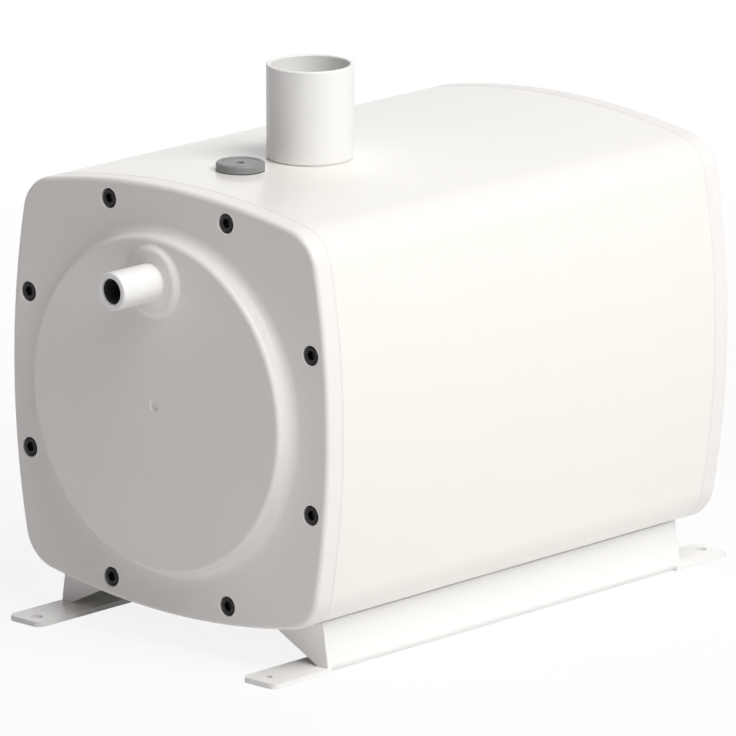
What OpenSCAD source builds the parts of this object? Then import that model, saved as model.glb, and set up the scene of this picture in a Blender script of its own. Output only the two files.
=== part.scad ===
// Shower sump pump: a closed collecting tank with a drain inlet on top, a pump and
// motor inside, and a discharge nozzle on the front cover. Millimetres, +Z up.
// The origin lies on the floor, at the middle of the four fixing holes in the feet.
// The front cover faces -Y and the long tank runs back along +Y.

/* [Housing] */
// Width and height of the rounded square housing, across the middle of its sides
housing_w = 249; // [240:1:262]
// Radius of the slight outward bulge of each side
side_r = 500; // [420:10:650]
// Radius of the housing's four corners
corner_r = 25; // [22:1:30]
// Wall of the moulded tank
wall = 5; // [4:0.5:6]
// Length of the tank between its two covers
tank_l = 314; // [300:1:340]
// Clearance between the underside of the housing and the floor
floor_gap = 18.5; // [16.5:0.5:25.5]
// Distance of the bulkhead's front face behind the middle of the tank
partition_y = 16; // [8:1:24]
// Thickness of the bulkhead between the wet and the dry chamber
partition_t = 8; // [7:0.5:10]

/* [Covers] */
// Thickness of each cover at its rim
cover_t = 12; // [10:0.5:14]
// Thickness of the flat gasket behind each cover
gasket_t = 1; // [0.8:0.1:2]
// Radius of the rounded outer edge of the covers
edge_r = 3; // [1.5:0.5:4]
// Distance from the side of the housing in to the raised round disc on each cover
disc_inset = 26.5; // [24.5:0.5:29.5]
// Height of the disc above the rim
disc_h = 11; // [8:0.5:13]
// Wall of the disc, which is hollow behind
disc_wall = 5; // [4:0.5:6]
// Number of screws round each cover
bolt_n = 8; // [8:4:12]
// Distance from the side of the housing in to the circle of screws
bolt_inset = 4.5; // [3.5:0.5:5]

/* [Inlet and vent] */
// Outside diameter of the inlet pipe
inlet_d = 50; // [40:1:52]
// Wall of the inlet pipe
inlet_wall = 2.5; // [2:0.5:3.5]
// Distance of the inlet pipe to the right of the middle
inlet_x = 6; // [0:1:12]
// Distance of the pipe behind the front of the cover's rim
inlet_back = 111; // [104:1:122]
// Height of the pipe above the top of the housing
inlet_rise = 54.5; // [40:0.5:80]
// Depth of the socket that holds the pipe below the inside of the tank's roof
socket_depth = 23; // [18:1:24]
// Diameter of the vent plug
vent_d = 28; // [24:1:32]
// Height of the vent plug above its seal
vent_h = 4.5; // [4:0.5:10]
// Distance of the vent plug behind the front of the cover's rim
vent_back = 60; // [54:1:62]
// Diameter of the air hole through the vent plug
vent_bore_d = 4.5; // [3:0.5:6]

/* [Discharge] */
// Outside diameter of the discharge nozzle
nozzle_d = 22; // [19:1:24]
// Bore of the discharge nozzle
nozzle_bore_d = 14; // [11:1:15]
// Distance from the front of the cover's rim out to the nozzle's tip
nozzle_reach = 45; // [35:1:60]
// Distance of the nozzle below the top of the housing
nozzle_drop = 52.5; // [51.5:0.5:56.5]
// Diameter of the low round boss under the nozzle
nozzle_boss_d = 44; // [40:1:46]
// Wall of the rubber hoses
hose_wall = 3.5; // [2.5:0.5:4]
// Radius of the discharge hose's bend, to its centre line
hose_bend_r = 26; // [22:1:30]
// Outside diameter of the check valve's round body
valve_d = 38; // [36:1:40]
// Angle through which the check valve's flap opens
flap_lift = 60; // [40:5:65]

/* [Feet] */
// Distance from the side of the housing in to the outer edge of the rails at the floor
foot_inset = 18.5; // [15.5:0.5:21.5]
// Thickness of the rails
rail_t = 3; // [2.5:0.5:4]
// Distance from each end of the tank in to the end of the rails' upright webs
rail_inset = 7; // [5:1:17]
// Length of the flange's tabs past the ends of the webs
foot_tab_l = 44; // [40:1:50]
// Width of the floor flanges
flange_w = 26; // [22:1:30]
// Sideways lean of the webs from top to bottom
web_lean = 8; // [5:1:10]
// Distance of the fixing holes in from the outer edge of the flanges
foot_hole_side = 15; // [14:0.5:16]
// Distance of the fixing holes in from the ends of the flanges
foot_hole_end = 9; // [8:0.5:13]
// Diameter of the fixing holes
foot_hole_d = 7; // [5:0.5:8]

/* [Pump] */
// Distance of the pump's axis to the right of the middle
pump_x = 34; // [32:1:36]
// Height of the pump's axis above the underside of the housing
pump_rise = 79.5; // [77.5:0.5:82.5]
// Diameter of the impeller
impeller_d = 55; // [50:1:56]
// Number of curved blades
blade_n = 6; // [5:1:8]
// Thickness of the blades
blade_t = 2.2; // [1.8:0.1:2.6]
// Depth of the pump chamber
chamber_depth = 14; // [12:0.5:15]
// Width of the pump chamber's outlet throat
throat_w = 16; // [14:1:16]
// Wall of the pump casing
volute_wall = 3.5; // [3:0.5:4]
// Bore of the suction eye
eye_d = 24; // [22:1:26]
// Diameter of the suction strainer
strainer_d = 48; // [44:1:52]
// Number of slots round the strainer
strainer_slot_n = 16; // [12:2:20]

/* [Motor] */
// Outside diameter of the motor casing
motor_d = 100; // [96:1:102]
// Wall of the motor casing
motor_wall = 3; // [2.5:0.5:4]
// Length of the motor casing
motor_l = 90; // [86:1:94]
// Length of the stator and rotor cores
core_l = 50; // [40:1:52]
// Diameter of the rotor core
rotor_d = 53; // [48:1:54]
// Number of stator slots
stator_slot_n = 24; // [18:6:24]
// Diameter of the motor shaft
shaft_d = 12; // [10:1:13]
// Outside diameter of the bearings
bearing_d = 28; // [26:1:30]
// Width of the bearings
bearing_w = 8; // [7:0.5:9]

/* [Float switch] */
// Diameter of the ball float
float_d = 44; // [38:1:46]
// Distance from the float's hinge pin to its centre
float_reach = 64; // [60:1:66]
// Angle of the float arm below level at rest
float_droop = 25; // [20:1:30]
// Angle through which the float rises
float_lift = 45; // [35:1:50]
// Distance that the cam pushes the switch plunger
cam_rise = 3; // [2:0.5:3.5]
// Distance of the float switch to the left of the middle
float_x = 62; // [60:1:64]

/* [Fasteners and fits] */
// Diameter of the cover screws
cover_screw_d = 6; // [5:0.5:6]
// Diameter of the cover screws' round heads
cover_head_d = 10; // [9:0.5:10.5]
// Diameter of the counterbores for those heads
counterbore_d = 11.5; // [11:0.5:12.5]
// Diameter of the motor plate's screws
plate_screw_d = 5; // [4:0.5:5]
// Diameter of the small screws of the pump casing and the float bracket
small_screw_d = 4; // [3:0.5:4]
// Clearance round a screw or a seated piece
fit_gap = 0.1; // [0.05:0.05:0.2]
// Clearance round a turning or sliding piece
running_gap = 0.05; // [0.02:0.01:0.08]

/* [Hidden] */
$fn = 96;

white = [0.93, 0.93, 0.91];
pale_grey = [0.84, 0.84, 0.83];
mid_grey = [0.45, 0.45, 0.46];
black_oxide = [0.12, 0.12, 0.13];
rubber_black = [0.10, 0.10, 0.11];
steel = [0.72, 0.73, 0.75];
copper = [0.72, 0.42, 0.24];
float_blue = [0.30, 0.46, 0.66];

// Overrun of every cut past the face that it opens
over = 1;
// Facets of the wide side arcs, whose radius is large
side_fn = 360;
// Gap between two seated faces that only rest on each other
seat_gap = 0.2;
// Film of glue round the pieces that are bonded into the tank
bond_gap = 0.05;

// Outline of the housing: four bulged sides and four round corners
half_w = housing_w / 2;
axis_h = half_w + floor_gap;
bulge_mid = side_r - half_w;
corner_reach = side_r - corner_r;
corner_mid = (sqrt(2 * pow(corner_reach, 2) - pow(bulge_mid, 2)) - bulge_mid) / 2;

// Height of the housing's roof above its centre line, at a distance from the middle
function roof_at(x, inset = 0) = sqrt(pow(side_r - inset, 2) - x * x) - bulge_mid;

// Stack along Y
tank_front = -tank_l / 2;
tank_rear = tank_l / 2;
face_y = tank_front - gasket_t - cover_t;
disc_y = face_y - disc_h;
partition_rear = partition_y + partition_t;

// Cover screws
bolt_r = half_w - bolt_inset;
bolt_start = 180 / bolt_n;
boss_r = 8.5;
boss_l = 30;
cover_hole_r = cover_screw_d / 2 + 3 * fit_gap;
tapped_r = cover_screw_d / 2 + fit_gap;
head_h = 6;
head_sink = 0.5;
counterbore_depth = head_h + head_sink;
cover_screw_l = 24;
socket_key_r = 2.9;
socket_key_depth = 3.5;
gasket_inset = 1;
gasket_band = 18;

// Disc on the covers
disc_r = half_w - disc_inset;
disc_draft = 1;
disc_fillet = 2.5;
recess_r = disc_r - disc_wall - 2 * disc_draft;
gate_mark_r = 3;
gate_mark_depth = 0.8;

// Inlet pipe and its socket
inlet_r = inlet_d / 2;
inlet_y = face_y + inlet_back;
pipe_top = roof_at(inlet_x) + inlet_rise;
socket_wall = 4;
socket_r = inlet_r + socket_wall;
socket_low = roof_at(inlet_x, wall) - socket_depth;
socket_ledge = 3;
pipe_low = socket_low + socket_ledge + seat_gap;
socket_slack = 1;
shoulder_up = 0.5;
seal_groove = 1.3;
seal_h = 3;
seal_up = 9;

// Vent plug
vent_r = vent_d / 2;
vent_y = face_y + vent_back;
vent_sink = 0.4;
vent_seat = roof_at(vent_r) - vent_sink;
vent_seal_t = 1;
vent_thread_r = 8;
vent_thread_l = 13;
vent_boss_r = 12;
vent_boss_l = 7;
vent_edge = 1.6;

// Discharge nozzle through the front cover
nozzle_r = nozzle_d / 2;
nozzle_up = half_w - nozzle_drop;
nozzle_boss_h = 3;
nozzle_boss_y = disc_y - nozzle_boss_h;
nozzle_seal_t = 1.4;
nozzle_seal_l = 2.4;
nozzle_seal_in = 3;
nozzle_tip_edge = 1;
tail_step = 1;
tail_r = nozzle_r - tail_step;
tail_in = 10;
tail_end = tank_front - gasket_t + tail_in;
nozzle_nut_w = 7.5;
nozzle_nut_r = nozzle_r + nozzle_nut_w;
nozzle_nut_t = 8;

// Foot rails
track_half = half_w - foot_inset;
rail_l = tank_l - 2 * rail_inset;
foot_l = rail_l + 2 * foot_tab_l;
web_top_x = track_half - web_lean;
seat_w = 34;
seat_in = web_top_x - seat_w;
flange_corner_r = 5;
rail_screw_in = 9;
rail_screw_x = seat_in + rail_screw_in;
rail_screw_shares = [-0.36, 0, 0.36];
rail_boss_r = 7;
rail_boss_drop = 3;
rail_screw_d = 5;
rail_head_r = 4.75;
rail_head_h = 3.5;
rail_pad_r = 7.5;
rail_pad_h = 8;
rail_screw_rise = 12;
rail_underside = axis_h - roof_at(rail_screw_x) - rail_t - rail_boss_drop;

// Pump casing: a spiral whose radius grows to the throat
pump_z = pump_rise - half_w;
impeller_r = impeller_d / 2;
outlet_x = -pump_x;
throat_r = pump_x + throat_w / 2;
tongue_gap = 2;
spiral_start_r = impeller_r + tongue_gap;
spiral_start = 150;
spiral_sweep = 330;
spiral_steps = 44;
duct_top = 24;
flange_lip = 3.5;
spigot_r = throat_r + volute_wall + flange_lip;
volute_front_wall = 4;
volute_front = -chamber_depth - volute_front_wall;
volute_flange_t = 4;
volute_screw_in = 3.5;
volute_screw_r = spigot_r - volute_screw_in;
volute_screw_sweeps = [45, 110, 175, 235];
small_head_r = 3.4;
small_head_h = 3;
small_screw_l = 12;
stub_r = tail_r;
stub_bore_r = 8;
stub_set = 0.6;
stub_y = -stub_r - stub_set;
hose_straight = 20;
stub_top = nozzle_up - hose_bend_r - hose_straight - pump_z;
eye_r = eye_d / 2;
suction_wall = 3;
suction_r = eye_r + suction_wall;
suction_l = 16;

// Impeller, its shaft end and its nut
impeller_gap = 0.8;
impeller_back_t = 2.2;
blade_gap = 1.5;
blade_front = -chamber_depth + blade_gap;
hub_r = 6.5;
hub_front = blade_front;
blade_root = 1;
blade_in_r = hub_r - blade_root;
blade_out_r = impeller_r - blade_t / 4;
blade_wrap = 62;
blade_steps = 10;
shaft_end_r = 4;
impeller_nut_r = 6.4;
impeller_nut_t = 6;

// Motor plate behind the partition
plate_seal_t = 1.5;
plate_y = partition_rear + plate_seal_t;
plate_t = 6;
plate_rear = plate_y + plate_t;
plate_rim = 17;
plate_r = spigot_r + plate_rim;
plate_screw_out = 11.5;
plate_screw_r = spigot_r + plate_screw_out;
plate_screw_n = 6;
plate_head_r = 4.25;
plate_head_h = 4;
ring_t = 6;
plate_screw_l = 15;
hole_gap = 1;
shaft_slack = 0.6;
shaft_hole_r = shaft_d / 2 + shaft_slack;
seal_front = 4;
seal_l = 10;
seal_lip = 2;
bearing_space = 1;
front_bearing_y = seal_front + seal_l + bearing_space;
bearing_r = bearing_d / 2;
pocket_wall = 6;
pocket_in = bearing_r + pocket_wall;
pocket_out = spigot_r - pocket_wall;
pocket_front = 8;
pocket_rib_t = 4;
pocket_rib_n = 6;

// Motor
shaft_r = shaft_d / 2;
motor_r = motor_d / 2;
motor_rear = plate_rear + motor_l;
coil_l = 10;
coil_space = 6.4;
core_front = plate_rear + coil_space + coil_l + fit_gap;
core_rear = core_front + core_l;
air_gap = 0.5;
stator_in = rotor_d / 2 + air_gap;
stator_out = motor_r - motor_wall - fit_gap;
tooth_tip = 2;
slot_in = stator_in + tooth_tip;
slot_l = 10;
slot_w = 3.4;
slot_mouth_w = 1.6;
coil_over = 0.5;
coil_in = slot_in - coil_over;
coil_out = slot_in + slot_l + 4 * coil_over;
end_cap_t = 5;
end_cap_lip = 4;
cup_depth = 12.5;
rear_bearing_front = motor_rear - cup_depth;
bearing_cup_wall = 4;
shaft_rear = rear_bearing_front + bearing_w + bearing_space / 2;
ring_wall = 2.3;
shield_set = 0.6;
rod_r = plate_screw_d / 2;
rod_out = 4.5;
rod_circle_r = motor_r + rod_out;
rod_n = 4;
rod_ear_r = 6;
rod_seat = 4.5;

// Suction elbow and strainer
elbow_r = 24;
elbow_socket_floor = 4;
elbow_socket_l = 14;
elbow_space = 2;
elbow_front = volute_front - suction_l - elbow_space - elbow_socket_floor;
elbow_y = elbow_front - elbow_r;
elbow_leg_l = 20;
elbow_leg_low = pump_z - elbow_r - elbow_leg_l;
strainer_r = strainer_d / 2;
strainer_wall = 2;
strainer_rise = 2;
strainer_low = -roof_at(pump_x + strainer_d / 2, wall) + strainer_rise;
strainer_step = 1.5;
strainer_top = elbow_leg_low - strainer_step;
strainer_collar_l = 14;
strainer_slot_w = 3;
strainer_rim = 3;

// Discharge hose, check valve and coupling hose
hose_in = tail_r + running_gap;
hose_r = hose_in + hose_wall;
hose_lap = 16;
stub_top_z = pump_z + stub_top;
hose_low = stub_top_z - hose_lap;
bend_y = stub_y - hose_bend_r;
hose_run = 23;
hose_end = bend_y - hose_run;
hose_space = 2;
valve_rear = hose_end - hose_space;
valve_spigot_l = hose_lap + 3 * hose_space;
valve_r = valve_d / 2;
valve_wall = 3.5;
valve_bore_r = 8;
chamber_r = valve_r - valve_wall;
seat_wall = 4;
seat_y = valve_rear - seat_wall;
seat_lip_t = 2.5;
seat_bore_r = 7;
seat_lip_r = 8.2;
flap_r = 9.2;
flap_t = 2;
flap_gap = 0.3;
flap_axis_out = 3.2;
flap_axis_y = seat_y - flap_axis_out;
flap_axis_up = 11.2;
barrel_r = 2.5;
barrel_half = 5;
ear_in = 5.3;
ear_out = 8.3;
flap_pin_r = 1.25;
valve_l = 32;
valve_front = valve_rear - valve_l;
cap_t = 4;
cap_lip = 3;
cap_spigot_end = valve_front - cap_t - valve_spigot_l;
coupling_rear = cap_spigot_end + hose_lap;
coupling_front = tail_end - hose_lap + hose_space;
clamp_w = 9;
clamp_t = 1.2;
clamp_block = 7;

// Float switch on the partition's front face
float_axis_y = -14;
float_axis_z = -20;
bracket_t = 3;
bracket_face = partition_y - bracket_t;
bracket_half = 14;
bracket_low = -38;
bracket_top = 54;
ear_t = 3;
ear_front = -34;
ear_low = -38;
ear_top = -12;
ear_corner = 6;
float_pin_r = 2;
pin_proud = 1.5;
pin_half = bracket_half + pin_proud;
arm_hub_r = 6;
arm_half = bracket_half - ear_t - seat_gap;
arm_w = 6;
arm_t = 5;
arm_in_ball = 12;
cam_r = 9;
cam_half = 4;
cam_lead = 12;
cam_step = 3;
stop_reach = 17;
stop_bar = 3;
float_r = float_d / 2;
switch_half = 12;
switch_front = -26;
switch_low = -4;
switch_top = 22;
plunger_r = 2.5;
plunger_gap = 0.5;
plunger_l = 18;
plunger_bore_l = 17;
bracket_screw_zs = [46, -30];
switch_screw_z = 17;
switch_screw_half = 8;
switch_screw_r = 1.5;
tab_w = 6;
tab_t = 1;
tab_h = 8;
tab_ys = [-18, -8, 2];

// Cable gland in the rear cover
gland_z = -60;
gland_thread_r = 10;
gland_hex_r = 15.5;
gland_hex_t = 6;
gland_nose_l = 10;
gland_nut_t = 6;
gland_dome_r = 13;
gland_dome_l = 16;
gland_dome_step = 1;
gland_insert_r = 7.5;
gland_cable_r = 4.5;
gland_insert_l = 12;
gland_mouth_r = 5.5;
gland_disc_y = -disc_y;
gland_in = gland_disc_y - disc_wall;

// Extrudes a drawing in the X and Z plane from one Y to another
module along(y_from, y_to) {
    translate([0, y_to, 0]) rotate([90, 0, 0]) linear_extrude(height = y_to - y_from) children();
}

// Turns a profile of radius and Y about the Y axis
module spun() {
    rotate([-90, 0, 0]) rotate_extrude() children();
}

// Round bar along Y
module rod(r, y_from, y_to) {
    translate([0, y_from, 0]) rotate([-90, 0, 0]) cylinder(r = r, h = y_to - y_from);
}

// Six-sided bar along Y
module hex_rod(r, y_from, y_to) {
    translate([0, y_from, 0]) rotate([-90, 0, 0]) cylinder(r = r, h = y_to - y_from, $fn = 6);
}

// Upright round bar
module post(r, z_from, z_to) {
    translate([0, 0, z_from]) cylinder(r = r, h = z_to - z_from);
}

// Extrudes a drawing of forward and up from one X to another
module sideways(x_from, x_to) {
    translate([x_to, 0, 0]) rotate([90, 0, -90]) linear_extrude(height = x_to - x_from) children();
}

// Cross-section of a tube
module tube_section(outer, inner) {
    difference() {
        circle(r = outer);
        circle(r = inner);
    }
}

// Quarter bend from level at y_from, running towards -Y, down to upright
module bend_between(y_from, z_level, bend_r) {
    translate([0, y_from, z_level - bend_r]) rotate([90, 0, 90]) rotate([0, 0, 90])
        rotate_extrude(angle = 90) translate([bend_r, 0]) children();
}

// Places its children at a point of the X and Z plane
module at(x, z) {
    translate([x, 0, z]) children();
}

// Copies its children round a circle in the X and Z plane
module circle_of(n, r, start = 0) {
    for (i = [0 : n - 1]) at(r * cos(start + 360 * i / n), r * sin(start + 360 * i / n)) children();
}

// Raises a part from the floor to the housing's centre line
module raised() {
    translate([0, 0, axis_h]) children();
}

// Rounded square with bulged sides, drawn in by an inset
module housing_section(inset = 0) {
    arc_r = side_r - inset;
    round_r = corner_r - inset;
    lean = (corner_mid + bulge_mid) / corner_reach + corner_mid / corner_reach;
    chop = 2 * corner_mid + round_r * lean;
    intersection() {
        translate([-bulge_mid, 0]) circle(r = arc_r, $fn = side_fn);
        translate([bulge_mid, 0]) circle(r = arc_r, $fn = side_fn);
        translate([0, -bulge_mid]) circle(r = arc_r, $fn = side_fn);
        translate([0, bulge_mid]) circle(r = arc_r, $fn = side_fn);
        rotate(45) square(chop * sqrt(2), center = true);
    }
    for (sx = [-1, 1]) for (sz = [-1, 1]) {
        translate([sx * corner_mid, sz * corner_mid]) circle(r = round_r);
    }
}

module bolt_ring() {
    circle_of(bolt_n, bolt_r, bolt_start) children();
}

// Places its children on the six plate screws' axes
module plate_screw_ring() {
    at(pump_x, pump_z) circle_of(plate_screw_n, plate_screw_r) children();
}

module rod_ring() {
    at(pump_x, pump_z) circle_of(rod_n, rod_circle_r, 180 / rod_n) children();
}

// Places its children on the screws that hold one foot rail, seen from the housing
module rail_screw_row() {
    for (share = rail_screw_shares) translate([rail_screw_x, share * rail_l, 0]) children();
}

module bracket_screw_places() {
    for (z = bracket_screw_zs) at(-float_x, z) children();
}

// Housing

// Long tube with screw bosses inside its ends and pads over the feet
module tank_shell() {
    color(white) raised() difference() {
        union() {
            along(tank_front, tank_rear) difference() {
                housing_section();
                housing_section(wall);
            }
            bolt_ring() {
                rod(boss_r, tank_front, tank_front + boss_l);
                rod(boss_r, tank_rear - boss_l, tank_rear);
            }
            translate([0, vent_y, 0])
                post(vent_boss_r, half_w - wall - vent_boss_l, half_w - wall / 2);
            for (side = [0, 1]) mirror([side, 0, 0]) rail_screw_row()
                post(rail_pad_r, -roof_at(rail_screw_x) + wall / 2, -roof_at(rail_screw_x, wall) + rail_pad_h);
        }
        bolt_ring() {
            rod(tapped_r, tank_front - over, tank_front + boss_l - wall);
            rod(tapped_r, tank_rear - boss_l + wall, tank_rear + over);
        }
        translate([inlet_x, inlet_y, 0])
            post(inlet_r - socket_slack + fit_gap, roof_at(inlet_x + inlet_r, 2 * wall), half_w + over);
        translate([0, vent_y, 0]) {
            post(vent_thread_r + fit_gap, half_w - wall - vent_boss_l - over, half_w + over);
            post(vent_r, vent_seat, half_w + over);
        }
        for (side = [0, 1]) mirror([side, 0, 0]) rail_screw_row()
            post(rail_screw_d / 2 + fit_gap, -half_w - over, -roof_at(rail_screw_x, wall) + rail_pad_h / 2);
    }
}

// Wall that is bonded in between the wet and the dry chamber and carries the pump
module bulkhead() {
    color(white) raised() difference() {
        union() {
            along(partition_y, partition_rear) housing_section(wall + bond_gap);
            at(pump_x, pump_z) rod(plate_r, partition_y - ring_t, partition_y + over);
        }
        at(pump_x, pump_z) rod(spigot_r + hole_gap, partition_y - ring_t - over, partition_rear + over);
        plate_screw_ring()
            rod(plate_screw_d / 2 + fit_gap, plate_rear - plate_screw_l - seat_gap, partition_rear + over);
        bracket_screw_places()
            rod(small_screw_d / 2 + fit_gap, partition_y - over, partition_y + partition_t - wall / 2);
    }
}

// Round socket that is bonded under the roof and holds the inlet pipe
module inlet_socket() {
    color(white) raised() difference() {
        intersection() {
            translate([inlet_x, inlet_y, 0]) post(socket_r, socket_low, half_w);
            along(tank_front, partition_y) housing_section(wall + bond_gap);
        }
        translate([inlet_x, inlet_y, 0]) {
            post(inlet_r - socket_slack + fit_gap, socket_low + socket_ledge, half_w);
            post(inlet_r - inlet_wall, socket_low - over, half_w);
            translate([0, 0, pipe_low + seal_up]) rotate_extrude()
                translate([inlet_r - socket_slack - over, 0]) square([over + fit_gap + seal_groove, seal_h]);
        }
    }
}

// Rim, rounded edge and hollow disc that both covers share, drawn for the front
module cover_blank() {
    disc_top_r = disc_r - disc_draft;
    difference() {
        union() {
            along(face_y + edge_r, face_y + cover_t) housing_section();
            hull() for (turn = [0 : 30 : 90]) {
                depth = edge_r * (1 - cos(turn));
                along(face_y + depth, face_y + edge_r + over) housing_section(edge_r * (1 - sin(turn)));
            }
            spun() polygon(concat(
                [[0, face_y + edge_r], [0, disc_y]],
                [for (turn = [-90 : 15 : 0]) [
                    disc_top_r - disc_fillet + disc_fillet * cos(turn),
                    disc_y + disc_fillet + disc_fillet * sin(turn)
                ]],
                [[disc_r, face_y], [disc_r, face_y + edge_r]]
            ));
        }
        rod(recess_r, disc_y + disc_wall, face_y + cover_t + over);
        bolt_ring() {
            rod(cover_hole_r, face_y - over, face_y + cover_t + over);
            rod(counterbore_d / 2, face_y - over, face_y + counterbore_depth);
        }
        rod(gate_mark_r, disc_y - over, disc_y + gate_mark_depth);
    }
}

module front_cover() {
    color(pale_grey) raised() difference() {
        union() {
            cover_blank();
            at(0, nozzle_up) rod(nozzle_boss_d / 2, nozzle_boss_y, disc_y + disc_wall);
        }
        at(0, nozzle_up) rod(tail_r + fit_gap, nozzle_boss_y - over, face_y);
    }
}

module rear_cover() {
    color(pale_grey) raised() difference() {
        mirror([0, 1, 0]) cover_blank();
        at(0, gland_z) rod(gland_thread_r + fit_gap, gland_in - over, gland_disc_y + over);
    }
}

module gasket() {
    difference() {
        along(tank_front - gasket_t, tank_front) difference() {
            housing_section(gasket_inset);
            housing_section(gasket_band);
        }
        bolt_ring() rod(cover_hole_r, tank_front - gasket_t - over, tank_front + over);
    }
}

module front_gasket() {
    color(rubber_black) raised() gasket();
}

module rear_gasket() {
    color(rubber_black) raised() mirror([0, 1, 0]) gasket();
}

// Eight round-headed screws with a hexagon socket, sunk into the cover's rim
module cover_screws() {
    head_y = face_y + head_sink;
    bolt_ring() difference() {
        union() {
            rod(cover_head_d / 2, head_y, head_y + head_h);
            rod(cover_screw_d / 2, head_y + head_h / 2, head_y + head_h + cover_screw_l);
        }
        hex_rod(socket_key_r, head_y - over, head_y + socket_key_depth);
    }
}

module front_cover_screws() {
    color(black_oxide) raised() cover_screws();
}

module rear_cover_screws() {
    color(black_oxide) raised() mirror([0, 1, 0]) cover_screws();
}

// Inlet and vent

module inlet_pipe() {
    color(white) raised() translate([inlet_x, inlet_y, 0]) difference() {
        union() {
            post(inlet_r, roof_at(inlet_x) + shoulder_up, pipe_top);
            post(inlet_r - socket_slack, pipe_low, pipe_top - over);
        }
        post(inlet_r - inlet_wall, pipe_low - over, pipe_top + over);
    }
}

// Sealing ring round the pipe, in the groove of its socket
module inlet_seal() {
    color(rubber_black) raised() translate([inlet_x, inlet_y, pipe_low + seal_up + fit_gap])
        rotate_extrude() translate([inlet_r - socket_slack + running_gap, 0])
            square([seal_groove, seal_h - 2 * fit_gap]);
}

module vent_plug() {
    head_low = vent_seat + vent_seal_t;
    color(mid_grey) raised() translate([0, vent_y, 0]) difference() {
        union() {
            translate([0, 0, head_low]) rotate_extrude() polygon([
                [0, 0], [vent_r, 0], [vent_r, vent_h - vent_edge],
                [vent_r - vent_edge, vent_h], [0, vent_h]
            ]);
            post(vent_thread_r, vent_seat - vent_thread_l, head_low + vent_h / 2);
        }
        post(vent_bore_d / 2, vent_seat - vent_thread_l - over, head_low + vent_h + over);
    }
}

module vent_seal() {
    color(rubber_black) raised() translate([0, vent_y, 0]) difference() {
        post(vent_r - fit_gap, vent_seat, vent_seat + vent_seal_t);
        post(vent_thread_r + fit_gap, vent_seat - over, vent_seat + vent_seal_t + over);
    }
}

// Discharge nozzle

module discharge_nozzle() {
    tip_y = face_y - nozzle_reach;
    color(white) raised() at(0, nozzle_up) difference() {
        spun() polygon([
            [0, tip_y], [nozzle_r - nozzle_tip_edge, tip_y], [nozzle_r, tip_y + nozzle_tip_edge],
            [nozzle_r, nozzle_boss_y], [tail_r, nozzle_boss_y], [tail_r, tail_end], [0, tail_end]
        ]);
        rod(nozzle_bore_d / 2, tip_y - over, tail_end + over);
        spun() translate([tail_r - nozzle_seal_t, nozzle_boss_y + nozzle_seal_in])
            square([nozzle_seal_t + over, nozzle_seal_l]);
    }
}

// Sealing ring that lies in the groove of the nozzle's tail, inside the boss
module nozzle_seal() {
    color(rubber_black) raised() at(0, nozzle_up) spun()
        translate([tail_r - nozzle_seal_t + fit_gap, nozzle_boss_y + nozzle_seal_in + fit_gap])
            square([nozzle_seal_t - running_gap, nozzle_seal_l - 2 * fit_gap]);
}

module nozzle_nut() {
    nut_y = disc_y + disc_wall;
    color(mid_grey) raised() at(0, nozzle_up) difference() {
        hex_rod(nozzle_nut_r, nut_y, nut_y + nozzle_nut_t);
        rod(tail_r + fit_gap, nut_y - over, nut_y + nozzle_nut_t + over);
    }
}

// Feet

// Cross-section of a rail: the seat under the housing and the leaning web
module rail_section(gusset) {
    web_in = rail_t * 1.1;
    difference() {
        union() {
            intersection() {
                translate([0, axis_h]) housing_section(-seat_gap - rail_t);
                translate([seat_in, 0]) square([web_top_x - seat_in, axis_h / 2]);
            }
            polygon([
                [track_half, 0], [track_half - web_in, 0],
                [web_top_x - web_in, axis_h - corner_mid], [web_top_x, axis_h - corner_mid]
            ]);
            if (gusset) polygon([
                [track_half, 0], [track_half - web_in, 0],
                [seat_in, axis_h - roof_at(seat_in) - rail_t],
                [seat_in, axis_h - corner_mid], [web_top_x, axis_h - corner_mid]
            ]);
        }
        translate([0, axis_h]) housing_section(-seat_gap);
    }
}

// Floor flange in plan, with round corners
module flange_plan() {
    flange_in = track_half - flange_w;
    translate([flange_in, -foot_l / 2 + flange_corner_r]) square([flange_w, foot_l - 2 * flange_corner_r]);
    translate([flange_in + flange_corner_r, -foot_l / 2]) square([flange_w - 2 * flange_corner_r, foot_l]);
    for (x = [flange_in + flange_corner_r, track_half - flange_corner_r]) for (end = [-1, 1]) {
        translate([x, end * (foot_l / 2 - flange_corner_r)]) circle(r = flange_corner_r);
    }
}

module foot_rail() {
    color(white) difference() {
        union() {
            along(-rail_l / 2, rail_l / 2) rail_section(false);
            for (end = [-1, 1]) translate([0, end * (rail_l - rail_t) / 2, 0])
                along(-rail_t / 2, rail_t / 2) rail_section(true);
            linear_extrude(height = rail_t) flange_plan();
            difference() {
                rail_screw_row() post(rail_boss_r, rail_underside, axis_h - corner_mid);
                translate([0, 0, axis_h]) along(-rail_l, rail_l) housing_section(-seat_gap);
            }
        }
        for (end = [-1, 1]) translate([track_half - foot_hole_side, end * (foot_l / 2 - foot_hole_end), 0])
            post(foot_hole_d / 2, -over, rail_t + over);
        rail_screw_row() post(rail_screw_d / 2 + 2 * fit_gap, rail_underside - over, axis_h - corner_mid);
    }
}

module right_foot_rail() {
    foot_rail();
}

module left_foot_rail() {
    mirror([1, 0, 0]) foot_rail();
}

module foot_rail_screws() {
    screw_top = axis_h - roof_at(rail_screw_x) + rail_screw_rise - rail_t;
    color(steel) for (side = [0, 1]) mirror([side, 0, 0]) rail_screw_row() {
        post(rail_head_r, rail_underside - rail_head_h, rail_underside);
        post(rail_screw_d / 2, rail_underside - rail_head_h / 2, min(screw_top, rail_underside + 2 * rail_screw_rise));
    }
}

// Pump

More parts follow.
